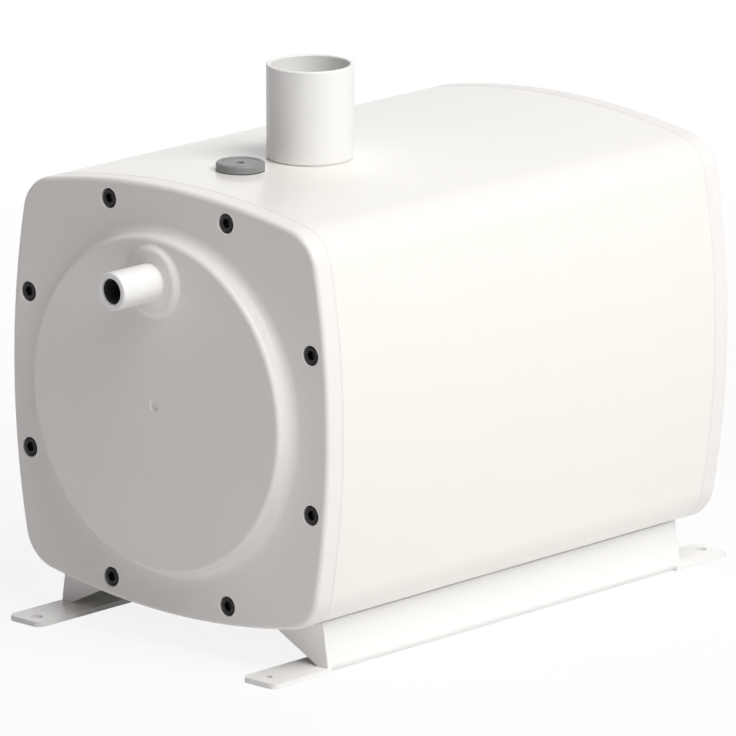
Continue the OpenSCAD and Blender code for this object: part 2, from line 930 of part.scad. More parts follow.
// Points of the spiral, grown by a wall
function spiral_points(grow) = [
    for (i = [0 : spiral_steps])
        let(turn = spiral_start - spiral_sweep * i / spiral_steps)
        let(r = spiral_start_r + (throat_r - spiral_start_r) * i / spiral_steps + grow)
        [r * cos(turn), r * sin(turn)]
];

// Outline of the pump chamber with its upward outlet duct, grown by a wall
module volute_outline(grow) {
    polygon(concat(spiral_points(grow), [
        [outlet_x - throat_w / 2 - grow, duct_top + grow],
        [outlet_x + throat_w / 2 + grow, duct_top + grow]
    ]));
}

module volute_casing() {
    color(pale_grey) raised() at(pump_x, pump_z) difference() {
        union() {
            along(volute_front, 0) volute_outline(volute_wall);
            rod(spigot_r, -volute_flange_t, 0);
            rod(suction_r, volute_front - suction_l, volute_front + over);
            translate([outlet_x, stub_y, 0]) post(stub_r, duct_top - throat_w / 2, stub_top);
        }
        along(-chamber_depth, over) volute_outline(0);
        rod(eye_r, volute_front - suction_l - over, over);
        translate([outlet_x, stub_y, 0]) post(stub_bore_r, duct_top - throat_w / 2, stub_top + over);
        for (sweep = volute_screw_sweeps) {
            turn = spiral_start - sweep;
            at(volute_screw_r * cos(turn), volute_screw_r * sin(turn))
                rod(small_screw_d / 2 + fit_gap, -volute_flange_t - over, over);
        }
    }
}

module volute_screws() {
    color(steel) raised() at(pump_x, pump_z) for (sweep = volute_screw_sweeps) {
        turn = spiral_start - sweep;
        at(volute_screw_r * cos(turn), volute_screw_r * sin(turn)) {
            rod(small_head_r, -volute_flange_t - small_head_h, -volute_flange_t);
            rod(small_screw_d / 2, -volute_flange_t - small_head_h / 2, small_screw_l - volute_flange_t);
        }
    }
}

// One blade that leans back from the way it turns, drawn as a curved strip
module blade_outline() {
    function turn_at(share) = blade_wrap * share;
    function reach_at(share) = blade_in_r + (blade_out_r - blade_in_r) * share;
    function half_turn(share) = blade_t / 2 / reach_at(share) * 180 / PI;
    polygon(concat(
        [for (i = [0 : blade_steps]) let(s = i / blade_steps)
            reach_at(s) * [cos(turn_at(s) - half_turn(s)), sin(turn_at(s) - half_turn(s))]],
        [for (i = [blade_steps : -1 : 0]) let(s = i / blade_steps)
            reach_at(s) * [cos(turn_at(s) + half_turn(s)), sin(turn_at(s) + half_turn(s))]]
    ));
}

module impeller() {
    back_y = -impeller_gap - impeller_back_t;
    color(pale_grey) raised() at(pump_x, pump_z) difference() {
        union() {
            rod(impeller_r, back_y, -impeller_gap);
            rod(hub_r, hub_front, -impeller_gap);
            for (i = [0 : blade_n - 1]) rotate([0, 360 * i / blade_n, 0])
                along(blade_front, back_y + impeller_back_t / 2) blade_outline();
        }
        rod(shaft_end_r + fit_gap / 5, blade_front - over, over);
    }
}

module impeller_nut() {
    color(steel) raised() at(pump_x, pump_z) difference() {
        hex_rod(impeller_nut_r, hub_front - impeller_nut_t, hub_front);
        rod(shaft_end_r + fit_gap / 5, hub_front - impeller_nut_t - over, hub_front + over);
    }
}

module motor_plate() {
    color(steel) raised() at(pump_x, pump_z) difference() {
        union() {
            rod(plate_r, plate_y, plate_rear);
            rod(spigot_r, 0, plate_y + over);
        }
        rod(shaft_hole_r, -over, seal_front + over);
        rod(bearing_r + fit_gap / 2, seal_front, plate_rear + over);
        difference() {
            spun() translate([pocket_in, pocket_front]) square([pocket_out - pocket_in, plate_rear]);
            for (i = [0 : pocket_rib_n - 1]) rotate([0, 360 * i / pocket_rib_n, 0])
                translate([pocket_in - over, 0, -pocket_rib_t / 2])
                    cube([pocket_out - pocket_in + 2 * over, plate_rear, pocket_rib_t]);
        }
        circle_of(plate_screw_n, plate_screw_r)
            rod(plate_screw_d / 2 + 2 * fit_gap, plate_y - over, plate_rear + over);
        circle_of(rod_n, rod_circle_r, 180 / rod_n)
            rod(rod_r + fit_gap, plate_rear - rod_seat, plate_rear + over);
        for (sweep = volute_screw_sweeps) {
            turn = spiral_start - sweep;
            at(volute_screw_r * cos(turn), volute_screw_r * sin(turn))
                rod(small_screw_d / 2 + fit_gap, -over, small_screw_l - volute_flange_t + over);
        }
    }
}

module motor_plate_seal() {
    color(rubber_black) raised() difference() {
        at(pump_x, pump_z) difference() {
            rod(plate_r, partition_rear, plate_y);
            rod(spigot_r + hole_gap, partition_rear - over, plate_y + over);
        }
        plate_screw_ring() rod(plate_screw_d / 2 + 2 * fit_gap, partition_rear - over, plate_y + over);
    }
}

module motor_plate_screws() {
    color(steel) raised() plate_screw_ring() {
        rod(plate_head_r, plate_rear, plate_rear + plate_head_h);
        rod(plate_screw_d / 2, plate_rear - plate_screw_l, plate_rear + plate_head_h / 2);
    }
}

// Ring round the shaft, with a raised lip at its wet side
module shaft_seal() {
    color(rubber_black) raised() at(pump_x, pump_z) difference() {
        rod(bearing_r, seal_front, seal_front + seal_l);
        rod(shaft_r + running_gap, seal_front - over, seal_front + seal_l + over);
        spun() translate([shaft_r + seal_lip, seal_front + seal_l / 2])
            square([bearing_r - shaft_r - 2 * seal_lip, seal_l]);
    }
}

// Sealed ball bearing: two rings with a shield set back between them
module bearing(front) {
    shield_in = shaft_r + ring_wall;
    shield_out = bearing_r - ring_wall;
    color(steel) raised() at(pump_x, pump_z) difference() {
        rod(bearing_r, front, front + bearing_w);
        rod(shaft_r + running_gap, front - over, front + bearing_w + over);
        for (y = [front - over, front + bearing_w - shield_set])
            spun() translate([shield_in, y]) square([shield_out - shield_in, over + shield_set]);
    }
}

module front_bearing() {
    bearing(front_bearing_y);
}

module rear_bearing() {
    bearing(rear_bearing_front);
}

// Motor

module motor_shaft() {
    color(steel) raised() at(pump_x, pump_z) {
        rod(shaft_end_r, hub_front - impeller_nut_t + fit_gap, over);
        rod(shaft_r, -impeller_gap + fit_gap, shaft_rear);
    }
}

module rotor_core() {
    color(steel) raised() at(pump_x, pump_z) difference() {
        rod(rotor_d / 2, core_front, core_rear);
        rod(shaft_r + fit_gap / 5, core_front - over, core_rear + over);
    }
}

// Drawing of every slot of the stator, drawn in by a gap
module stator_slots(gap) {
    for (i = [0 : stator_slot_n - 1]) rotate(360 * i / stator_slot_n)
        translate([slot_in + gap, -slot_w / 2 + gap]) square([slot_l - 2 * gap, slot_w - 2 * gap]);
}

module stator_core() {
    color(steel) raised() at(pump_x, pump_z) along(core_front, core_rear) difference() {
        circle(r = stator_out);
        circle(r = stator_in);
        stator_slots(0);
        for (i = [0 : stator_slot_n - 1]) rotate(360 * i / stator_slot_n)
            translate([0, -slot_mouth_w / 2]) square([slot_in + over, slot_mouth_w]);
    }
}

module stator_winding() {
    round = coil_l / 4;
    coil_front = core_front - fit_gap - coil_l;
    color(copper) raised() at(pump_x, pump_z) {
        for (y = [coil_front, core_rear + fit_gap]) spun() polygon([
            [coil_in, y + round], [coil_in + round, y], [coil_out - round, y], [coil_out, y + round],
            [coil_out, y + coil_l - round], [coil_out - round, y + coil_l],
            [coil_in + round, y + coil_l], [coil_in, y + coil_l - round]
        ]);
        along(coil_front + coil_l / 2, core_rear + coil_l / 2) stator_slots(fit_gap);
    }
}

module motor_casing() {
    color(mid_grey) raised() at(pump_x, pump_z) difference() {
        rod(motor_r, plate_rear, motor_rear);
        rod(motor_r - motor_wall, plate_rear - over, motor_rear + over);
    }
}

module motor_end_cap() {
    cup_r = bearing_r + bearing_cup_wall;
    color(mid_grey) raised() at(pump_x, pump_z) difference() {
        union() {
            rod(motor_r, motor_rear, motor_rear + end_cap_t);
            difference() {
                rod(stator_out, motor_rear - end_cap_lip, motor_rear + over);
                rod(stator_out - motor_wall, motor_rear - end_cap_lip - over, motor_rear);
            }
            rod(cup_r, rear_bearing_front - over, motor_rear + over);
            circle_of(rod_n, rod_circle_r, 180 / rod_n) rod(rod_ear_r, motor_rear, motor_rear + end_cap_t);
        }
        rod(bearing_r + fit_gap / 2, rear_bearing_front - 2 * over, rear_bearing_front + bearing_w + over);
        circle_of(rod_n, rod_circle_r, 180 / rod_n)
            rod(rod_r + 2 * fit_gap, motor_rear - over, motor_rear + end_cap_t + over);
    }
}

module motor_tie_rods() {
    rod_head = motor_rear + end_cap_t;
    color(steel) raised() rod_ring() {
        rod(rod_r, plate_rear - rod_seat + fit_gap, rod_head + plate_head_h / 2);
        rod(plate_head_r, rod_head, rod_head + plate_head_h);
    }
}

// Suction side

module suction_elbow() {
    socket_floor = elbow_front + elbow_socket_floor;
    color(white) raised() translate([pump_x, 0, 0]) {
        at(0, pump_z) along(socket_floor, socket_floor + elbow_socket_l)
            tube_section(suction_r + suction_wall, suction_r + running_gap);
        at(0, pump_z) along(elbow_front, socket_floor) tube_section(suction_r + suction_wall, eye_r);
        bend_between(elbow_front, pump_z, elbow_r) tube_section(suction_r, eye_r);
        translate([0, elbow_y, elbow_leg_low]) linear_extrude(height = pump_z - elbow_r - elbow_leg_low)
            tube_section(suction_r, eye_r);
    }
}

// Slotted cup whose collar pushes onto the elbow's lower end
module suction_strainer() {
    slot_low = strainer_low + strainer_rim;
    slot_h = strainer_top - strainer_rim - slot_low;
    color(mid_grey) raised() translate([pump_x, elbow_y, 0]) difference() {
        union() {
            post(strainer_r, strainer_low, strainer_top);
            post(suction_r + suction_wall, strainer_top - over, elbow_leg_low + strainer_collar_l);
        }
        post(strainer_r - strainer_wall, strainer_low + strainer_wall, strainer_top - strainer_wall);
        post(eye_r, strainer_low + strainer_wall, strainer_top + over);
        post(suction_r + running_gap, elbow_leg_low - seat_gap, elbow_leg_low + strainer_collar_l + over);
        for (i = [0 : strainer_slot_n / 2 - 1]) rotate(360 * i / strainer_slot_n)
            translate([-strainer_r - over, -strainer_slot_w / 2, slot_low])
                cube([2 * (strainer_r + over), strainer_slot_w, slot_h]);
    }
}

// Discharge side

module discharge_hose() {
    color(rubber_black) raised() {
        translate([0, stub_y, hose_low]) linear_extrude(height = nozzle_up - hose_bend_r - hose_low)
            tube_section(hose_r, hose_in);
        translate([0, bend_y, 0]) rotate([0, 0, 180])
            bend_between(0, nozzle_up, hose_bend_r) tube_section(hose_r, hose_in);
        at(0, nozzle_up) along(hose_end, bend_y) tube_section(hose_r, hose_in);
    }
}

module coupling_hose() {
    color(rubber_black) raised() at(0, nozzle_up) difference() {
        rod(hose_r, coupling_front, coupling_rear);
        rod(hose_in, coupling_front - over, coupling_rear + over);
    }
}

// One worm-drive clamp along Y, with its screw block on top
module clamp_at(y) {
    band_r = hose_r + running_gap;
    difference() {
        union() {
            rod(band_r + clamp_t, y, y + clamp_w);
            translate([-clamp_block, y, band_r]) cube([2 * clamp_block, clamp_w, clamp_block]);
        }
        rod(band_r, y - over, y + clamp_w + over);
    }
}

module hose_clamps() {
    inset = clamp_w / 3;
    color(steel) raised() {
        at(0, nozzle_up) mirror([0, 0, 1]) {
            clamp_at(hose_end + inset);
            clamp_at(coupling_rear - inset - clamp_w);
            clamp_at(coupling_front + inset);
        }
        translate([0, stub_y, hose_low + inset + clamp_w]) rotate([-90, 0, 0]) mirror([0, 0, 1])
            rotate([0, 90, 0]) clamp_at(0);
    }
}

module check_valve_body() {
    color(white) raised() at(0, nozzle_up) difference() {
        union() {
            difference() {
                rod(valve_r, valve_front, valve_rear);
                rod(chamber_r, valve_front - over, seat_y);
            }
            rod(stub_r, valve_rear - over, valve_rear + valve_spigot_l);
            rod(seat_lip_r, seat_y - seat_lip_t, seat_y + over);
            for (side = [-1, 1]) difference() {
                translate([side > 0 ? ear_in : -ear_out, flap_axis_y - barrel_r, flap_axis_up - barrel_r])
                    cube([ear_out - ear_in, seat_y - flap_axis_y + barrel_r + over, 2 * barrel_r - seat_gap]);
                translate([0, flap_axis_y, flap_axis_up]) rotate([0, 90, 0])
                    cylinder(r = flap_pin_r + fit_gap / 5, h = 4 * ear_out, center = true);
            }
        }
        rod(seat_bore_r, seat_y - seat_lip_t - over, valve_rear + over);
        rod(valve_bore_r, valve_rear, valve_rear + valve_spigot_l + over);
    }
}

module check_valve_cap() {
    color(white) raised() at(0, nozzle_up) difference() {
        union() {
            rod(valve_r, valve_front - cap_t, valve_front);
            rod(chamber_r - fit_gap, valve_front - over, valve_front + cap_lip);
            rod(stub_r, cap_spigot_end, valve_front - cap_t + over);
        }
        rod(valve_bore_r, cap_spigot_end - over, valve_front + cap_lip + over);
        rod(chamber_r - valve_wall, valve_front, valve_front + cap_lip + over);
    }
}

// Round flap that hangs from its barrel in front of the seat
module check_flap() {
    flap_rear = seat_y - seat_lip_t - flap_gap;
    color(rubber_black) raised() at(0, nozzle_up) difference() {
        union() {
            rod(flap_r, flap_rear - flap_t, flap_rear);
            translate([-barrel_half, flap_rear - flap_t, 0]) cube([2 * barrel_half, flap_t, flap_axis_up]);
            translate([0, flap_axis_y, flap_axis_up]) rotate([0, 90, 0])
                cylinder(r = barrel_r, h = 2 * barrel_half, center = true);
        }
        translate([0, flap_axis_y, flap_axis_up]) rotate([0, 90, 0])
            cylinder(r = flap_pin_r + running_gap, h = 4 * barrel_half, center = true);
    }
}

module check_flap_pin() {
    color(steel) raised() translate([0, flap_axis_y, nozzle_up + flap_axis_up]) rotate([0, 90, 0])
        cylinder(r = flap_pin_r, h = 2 * ear_out, center = true);
}

// Float switch

// Places its children with the origin on the float's hinge pin
module on_float_pin() {
    translate([-float_x, float_axis_y, float_axis_z]) children();
}

module float_bracket() {
    color(steel) raised() difference() {
        union() {
            translate([-float_x - bracket_half, bracket_face, bracket_low])
                cube([2 * bracket_half, bracket_t, bracket_top - bracket_low]);
            for (x = [-float_x - bracket_half, -float_x + bracket_half - ear_t]) sideways(x, x + ear_t) {
                translate([-bracket_face - over, ear_low + ear_corner])
                    square([bracket_face - ear_front + over, ear_top - ear_low - ear_corner]);
                translate([-bracket_face - over, ear_low])
                    square([bracket_face - ear_front + over - ear_corner, ear_top - ear_low]);
                translate([-ear_front - ear_corner, ear_low + ear_corner]) circle(r = ear_corner);
            }
            on_float_pin() rotate([float_droop, 0, 0])
                translate([-bracket_half + over, -stop_reach, -arm_t / 2 - seat_gap - stop_bar])
                    cube([2 * (bracket_half - over), stop_bar, stop_bar]);
        }
        on_float_pin() rotate([0, 90, 0])
            cylinder(r = float_pin_r + fit_gap / 5, h = 4 * bracket_half, center = true);
        bracket_screw_places() rod(small_screw_d / 2 + 2 * fit_gap, bracket_face - over, partition_y + over);
        for (side = [-1, 1]) at(-float_x + side * switch_screw_half, switch_screw_z)
            rod(switch_screw_r + fit_gap, bracket_face - over, partition_y + over);
    }
}

module bracket_screws() {
    color(steel) raised() bracket_screw_places() {
        rod(small_head_r, bracket_face - small_head_h, bracket_face);
        rod(small_screw_d / 2, bracket_face - small_head_h / 2, partition_y + partition_t - wall / 2 - seat_gap);
    }
}

module float_pin() {
    color(steel) raised() on_float_pin() rotate([0, 90, 0])
        cylinder(r = float_pin_r, h = 2 * pin_half, center = true);
}

// Cam whose radius grows evenly with the angle, so that it lifts the plunger evenly
module cam_outline() {
    growth = cam_rise / float_lift;
    polygon(concat([[0, 0]], [
        for (turn = [-cam_lead : cam_step : float_lift + cam_lead])
            (cam_r + growth * turn) * [sin(turn), cos(turn)]
    ]));
}

module float_arm() {
    color(white) raised() on_float_pin() difference() {
        union() {
            rotate([0, 90, 0]) cylinder(r = arm_hub_r, h = 2 * arm_half, center = true);
            sideways(-cam_half, cam_half) cam_outline();
            rotate([float_droop, 0, 0]) translate([-arm_w / 2, -float_reach + arm_in_ball, -arm_t / 2])
                cube([arm_w, float_reach - arm_in_ball, arm_t]);
        }
        rotate([0, 90, 0]) cylinder(r = float_pin_r + running_gap, h = 4 * arm_half, center = true);
    }
}

module float_ball() {
    slot_deep = arm_in_ball - fit_gap;
    color(float_blue) raised() on_float_pin() rotate([float_droop, 0, 0]) translate([0, -float_reach, 0])
        difference() {
            sphere(r = float_r);
            translate([-arm_w / 2 - fit_gap, slot_deep, -arm_t / 2 - fit_gap])
                cube([arm_w + 2 * fit_gap, float_r, arm_t + 2 * fit_gap]);
        }
}

module switch_body() {
    color(mid_grey) raised() difference() {
        union() {
            translate([-float_x - switch_half, switch_front, switch_low])
                cube([2 * switch_half, bracket_face - switch_front, switch_top - switch_low]);
            for (y = tab_ys) translate([-float_x - tab_w / 2, y, switch_top - over])
                cube([tab_w, tab_t, tab_h + over]);
        }
        translate([-float_x, float_axis_y, 0])
            post(plunger_r + running_gap, switch_low - over, switch_low + plunger_bore_l);
        for (side = [-1, 1]) at(-float_x + side * switch_screw_half, switch_screw_z)
            rod(switch_screw_r + fit_gap, switch_front - over, bracket_face + over);
    }
}

module switch_screws() {
    color(steel) raised() for (side = [-1, 1]) at(-float_x + side * switch_screw_half, switch_screw_z) {
        rod(switch_screw_r, switch_front - switch_screw_r / 2, partition_y - seat_gap);
        rod(2 * switch_screw_r, switch_front - switch_screw_r, switch_front);
    }
}

// Plunger with a ball end that rides on the cam
module switch_plunger() {
    tip = float_axis_z + cam_r + plunger_gap;
    color(rubber_black) raised() translate([-float_x, float_axis_y, 0]) {
        translate([0, 0, tip + plunger_r]) sphere(r = plunger_r);
        post(plunger_r, tip + plunger_r, tip + plunger_l);
    }
}

// Cable gland

module gland_body() {
    color(mid_grey) raised() at(0, gland_z) difference() {
        union() {
            rod(gland_thread_r, gland_in - 2 * gland_nut_t, gland_disc_y + over);
            hex_rod(gland_hex_r, gland_disc_y, gland_disc_y + gland_hex_t);
            rod(gland_thread_r, gland_disc_y, gland_disc_y + gland_hex_t + gland_nose_l);
        }
        rod(gland_mouth_r, gland_in - 2 * gland_nut_t - over, gland_disc_y + over);
        rod(gland_insert_r + fit_gap, gland_disc_y, gland_disc_y + gland_hex_t + gland_nose_l + over);
    }
}

module gland_locknut() {
    color(mid_grey) raised() at(0, gland_z) difference() {
        hex_rod(gland_hex_r, gland_in - gland_nut_t, gland_in);
        rod(gland_thread_r + fit_gap, gland_in - gland_nut_t - over, gland_in + over);
    }
}

module gland_insert() {
    color(rubber_black) raised() at(0, gland_z) difference() {
        rod(gland_insert_r, gland_disc_y + seat_gap, gland_disc_y + gland_hex_t + gland_nose_l);
        rod(gland_cable_r, gland_disc_y - over, gland_disc_y + gland_hex_t + gland_nose_l + over);
    }
}

module gland_dome_nut() {
    nut_y = gland_disc_y + gland_hex_t + over;
    color(mid_grey) raised() at(0, gland_z) difference() {
        spun() polygon([
            [0, nut_y], [gland_dome_r, nut_y], [gland_dome_r, nut_y + gland_dome_l / 2],
            [gland_dome_r - gland_dome_step, nut_y + gland_dome_l * 0.75],
            [gland_dome_r - 4 * gland_dome_step, nut_y + gland_dome_l],
            [0, nut_y + gland_dome_l]
        ]);
        rod(gland_thread_r + fit_gap, nut_y - over, gland_disc_y + gland_hex_t + gland_nose_l + seat_gap);
        rod(gland_mouth_r, nut_y, nut_y + gland_dome_l + over);
    }
}

tank_shell();
bulkhead();
inlet_socket();
front_cover();
rear_cover();
front_gasket();
rear_gasket();
front_cover_screws();
rear_cover_screws();
inlet_pipe();
inlet_seal();
vent_plug();
vent_seal();
discharge_nozzle();
nozzle_seal();
nozzle_nut();
left_foot_rail();
right_foot_rail();
foot_rail_screws();
motor_plate();
motor_plate_seal();
motor_plate_screws();
volute_casing();
volute_screws();
shaft_seal();
impeller();
impeller_nut();
motor_shaft();
front_bearing();
rear_bearing();
rotor_core();
stator_core();
stator_winding();
motor_casing();
motor_end_cap();
motor_tie_rods();
suction_elbow();
suction_strainer();
discharge_hose();
coupling_hose();
hose_clamps();
check_valve_body();
check_valve_cap();
check_flap();
check_flap_pin();
float_bracket();
bracket_screws();
float_pin();
float_arm();
float_ball();
switch_body();
switch_screws();
switch_plunger();
gland_body();
gland_locknut();
gland_insert();
gland_dome_nut();
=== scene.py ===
import math

import bmesh
import bpy
from mathutils import Matrix, Vector


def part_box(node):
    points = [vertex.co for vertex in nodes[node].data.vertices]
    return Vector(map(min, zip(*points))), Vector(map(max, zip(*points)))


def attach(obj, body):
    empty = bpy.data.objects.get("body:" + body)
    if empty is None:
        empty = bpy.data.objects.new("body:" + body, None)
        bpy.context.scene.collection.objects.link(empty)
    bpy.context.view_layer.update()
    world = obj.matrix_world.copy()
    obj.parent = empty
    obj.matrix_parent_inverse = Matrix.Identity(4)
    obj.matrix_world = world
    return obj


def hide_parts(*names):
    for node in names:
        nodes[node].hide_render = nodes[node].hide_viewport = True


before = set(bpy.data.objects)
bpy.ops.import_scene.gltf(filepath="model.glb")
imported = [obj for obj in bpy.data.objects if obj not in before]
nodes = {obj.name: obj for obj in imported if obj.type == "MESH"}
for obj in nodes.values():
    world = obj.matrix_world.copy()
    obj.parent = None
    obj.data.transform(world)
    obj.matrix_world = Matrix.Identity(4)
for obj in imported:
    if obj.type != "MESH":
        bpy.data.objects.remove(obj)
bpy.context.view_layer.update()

# Tank shell. One long tube of gloss white plastic with four bulged sides and round
# corners, moulded with the screw bosses at its ends. Everything else is screwed,
# bonded or pushed into it.
TANK_WHITE = (0.905, 0.889, 0.832)
TANK_SHADE = (0.89, 0.874, 0.817)
TANK_COAT = 0.25
COAT_ROUGHNESS = 0.12
DRIFT_DETAIL = 3.0
SKIN_DETAIL = 2.0
SKIN_RELIEF = 0.0002


def plastic(name, colour, shade, roughness, grain=0.03, patch=18.0, skin_scale=420.0, bump=0.04,
            coat=0.0):
    """Moulded plastic: a slow drift of colour, a fine skin in the gloss and a faint grain."""
    material = bpy.data.materials.new(name)
    material.use_nodes = True
    tree = material.node_tree
    shader = tree.nodes["Principled BSDF"]
    shader.inputs["Coat Weight"].default_value = coat
    shader.inputs["Coat Roughness"].default_value = COAT_ROUGHNESS
    place = tree.nodes.new("ShaderNodeTexCoord")
    drift = tree.nodes.new("ShaderNodeTexNoise")
    drift.inputs["Scale"].default_value = patch
    drift.inputs["Detail"].default_value = DRIFT_DETAIL
    tint = tree.nodes.new("ShaderNodeMix")
    tint.data_type = "RGBA"
    tint.inputs["A"].default_value = (*colour, 1.0)
    tint.inputs["B"].default_value = (*shade, 1.0)
    skin = tree.nodes.new("ShaderNodeTexNoise")
    skin.inputs["Scale"].default_value = skin_scale
    skin.inputs["Detail"].default_value = SKIN_DETAIL
    gloss = tree.nodes.new("ShaderNodeMapRange")
    gloss.inputs["To Min"].default_value = roughness - grain
    gloss.inputs["To Max"].default_value = roughness + grain
    relief = tree.nodes.new("ShaderNodeBump")
    relief.inputs["Strength"].default_value = bump
    relief.inputs["Distance"].default_value = SKIN_RELIEF
    link = tree.links.new
    link(place.outputs["Object"], drift.inputs["Vector"])
    link(place.outputs["Object"], skin.inputs["Vector"])
    link(drift.outputs["Fac"], tint.inputs["Factor"])
    link(tint.outputs["Result"], shader.inputs["Base Color"])
    link(skin.outputs["Fac"], gloss.inputs["Value"])
    link(gloss.outputs["Result"], shader.inputs["Roughness"])
    link(skin.outputs["Fac"], relief.inputs["Height"])
    link(relief.outputs["Normal"], shader.inputs["Normal"])
    return material


def clothe(material, *names):
    """Gives CAD nodes one material in every slot."""
    for name in names:
        mesh = nodes[name].data
        mesh.materials.clear()
        mesh.materials.append(material)


tank_plastic = plastic("tank_plastic", TANK_WHITE, TANK_SHADE, roughness=0.30, coat=TANK_COAT)
clothe(tank_plastic, "tank_shell", "bulkhead", "inlet_socket")

# Gaskets. A flat ring of pale foamed rubber is clamped between each cover and the end
# of the tank, nearly flush with the outside, so the joint hardly shows.
HOUSING_HALF = 0.1245
SIDE_R = 0.500
CORNER_R = 0.025
BULGE_MID = SIDE_R - HOUSING_HALF
CORNER_REACH = SIDE_R - CORNER_R
CORNER_MID = (math.sqrt(2 * CORNER_REACH ** 2 - BULGE_MID ** 2) - BULGE_MID) / 2
SIDE_LEAN = math.atan2(CORNER_MID, CORNER_MID + BULGE_MID)
SIDE_STEPS = 16
CORNER_STEPS = 24
AXIS_H = 0.143
TANK_END = 0.157
GASKET_T = 0.001
GASKET_INSET = 0.0001
GASKET_BAND = 0.018
GASKET_PALE = (0.82, 0.81, 0.78)
GASKET_SHADE = (0.78, 0.77, 0.74)
SHARP_ANGLE = math.radians(32.0)


def bearings():
    """Yields each point of the housing's outline as a bearing, an arc's centre and its radius."""
    for quarter in range(4):
        turn = quarter * math.pi / 2
        side = Vector((-BULGE_MID * math.cos(turn), -BULGE_MID * math.sin(turn)))
        for step in range(SIDE_STEPS):
            yield turn - SIDE_LEAN + 2 * SIDE_LEAN * step / SIDE_STEPS, side, SIDE_R
        corner = Vector((math.sqrt(2) * CORNER_MID, 0))
        corner.rotate(Matrix.Rotation(turn + math.pi / 4, 2))
        for step in range(CORNER_STEPS):
            sweep = math.pi / 2 - 2 * SIDE_LEAN
            yield turn + SIDE_LEAN + sweep * step / CORNER_STEPS, corner, CORNER_R


def housing_ring(inset, y):
    """The housing's outline, drawn in by an inset, at a distance along the tank."""
    ring = []
    for bearing, centre, radius in bearings():
        x = centre.x + (radius - inset) * math.cos(bearing)
        up = centre.y + (radius - inset) * math.sin(bearing)
        ring.append(Vector((x, y, AXIS_H + up)))
    return ring


def disc_ring(radius, y):
    """A circle with one point for every point of the housing's outline."""
    turns = [bearing for bearing, _, _ in bearings()]
    return [Vector((radius * math.cos(t), y, AXIS_H + radius * math.sin(t))) for t in turns]


def skin(name, rings, closed=False):
    """Skins a piece over rings of points; a ring of one point is a pole."""
    mesh = bpy.data.meshes.new(name)
    form = bmesh.new()
    rows = [[form.verts.new(point) for point in ring] for ring in rings]
    pairs = list(zip(rows, rows[1:]))
    if closed:
        pairs.append((rows[-1], rows[0]))
    for row, other in pairs:
        count = max(len(row), len(other))
        for i in range(count):
            j = (i + 1) % count
            corners = [row[i % len(row)], row[j % len(row)]]
            corners += [other[j % len(other)], other[i % len(other)]]
            form.faces.new(list(dict.fromkeys(corners)))
    bmesh.ops.recalc_face_normals(form, faces=form.faces)
    form.to_mesh(mesh)
    form.free()
    piece = bpy.data.objects.new(name, mesh)
    bpy.context.scene.collection.objects.link(piece)
    return piece


def dress(piece, material, slot_name, *replaced):
    """Smooths a piece of the housing between its sharp edges, and gives it its finish."""
    mesh = piece.data
    mesh.materials.clear()
    mesh.materials.append(material)
    mesh.shade_smooth()
    mesh.set_sharp_from_angle(angle=SHARP_ANGLE)
    weighted = piece.modifiers.new("weighted", "WEIGHTED_NORMAL")
    weighted.keep_sharp = True
    if replaced:
        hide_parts(*replaced)
    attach(piece, "housing")


gasket_rubber = plastic("gasket_rubber", GASKET_PALE, GASKET_SHADE, roughness=0.75, patch=60.0,
                        bump=0.2)
for end, node in ((-1, "front_gasket"), (1, "rear_gasket")):
    near, far = end * TANK_END, end * (TANK_END + GASKET_T)
    gasket = skin(node + "_ring", [
        housing_ring(GASKET_INSET, near), housing_ring(GASKET_INSET, far),
        housing_ring(GASKET_BAND, far), housing_ring(GASKET_BAND, near)], closed=True)
    dress(gasket, gasket_rubber, "black_rubber", node)

# Covers. Each is one satin plastic moulding: a flat rim with a rounded edge, and a
# raised round disc with a soft fillet at its foot, hollow behind, with the gate's dimple
# at its middle. Eight counterbores take the screws, and the front cover has a low boss
# for the nozzle.
# The covers' own pale white with a painted shade tint: the green is held down so that the shaded
# front takes a pinkish cast.
COVER_PALE_SHADE_TINTED = (0.89, 0.862, 0.832)
COVER_DRIFT_SHADE_TINTED = (0.87, 0.842, 0.812)
RIM_Y = 0.170
COVER_BACK_Y = 0.158
EDGE_R = 0.003
BACK_EDGE = 0.0002
DISC_Y = 0.181
DISC_TOP_R = 0.097
DISC_FOOT_R = 0.098
DISC_FILLET = 0.003
FOOT_FILLET = 0.006
RIM_PLAIN_R = 0.108
RECESS_R = 0.091
RECESS_Y = 0.176
DIMPLE_R = 0.0032
DIMPLE_DEPTH = 0.0015
DIMPLE_SOFT = 0.0003
FILLET_STEPS = 6
BORE_STEPS = 40
ON_AXIS = 1e-9
SCREW_CIRCLE_R = 0.120
SCREW_COUNT = 8
COUNTERBORE_R = 0.00575
COUNTERBORE_DEPTH = 0.0065
COUNTERBORE_SOFT = 0.0005
SCREW_HOLE_R = 0.0033
OVERRUN = 0.001
NOZZLE_UP = 0.072
BOSS_Y = 0.184
BOSS_TOP_R = 0.0185
BOSS_FOOT_R = 0.0225
BOSS_EDGE = 0.0028
BOSS_BED = 0.0001
BOSS_STEPS = 96
NOZZLE_HOLE_R = 0.0101
GLAND_DROP = 0.060
GLAND_HOLE_R = 0.0101


def rounded(path):
    """Replaces each corner (radius, height, fillet) of a path by an arc of that fillet."""
    points = []
    for i, (across, along, fillet) in enumerate(path):
        here = Vector((across, along))
        if fillet == 0:
            points.append(here)
            continue
        before = (Vector(path[i - 1][:2]) - here).normalized()
        after = (Vector(path[(i + 1) % len(path)][:2]) - here).normalized()
        half = before.angle(after) / 2
        middle = here + (before + after).normalized() * (fillet / math.sin(half))
        start = here + before * (fillet / math.tan(half)) - middle
        finish = here + after * (fillet / math.tan(half)) - middle
        turn = start.angle_signed(finish)
        for step in range(FILLET_STEPS + 1):
            spoke = start.copy()
            spoke.rotate(Matrix.Rotation(-turn * step / FILLET_STEPS, 2))
            points.append(middle + spoke)
    return points


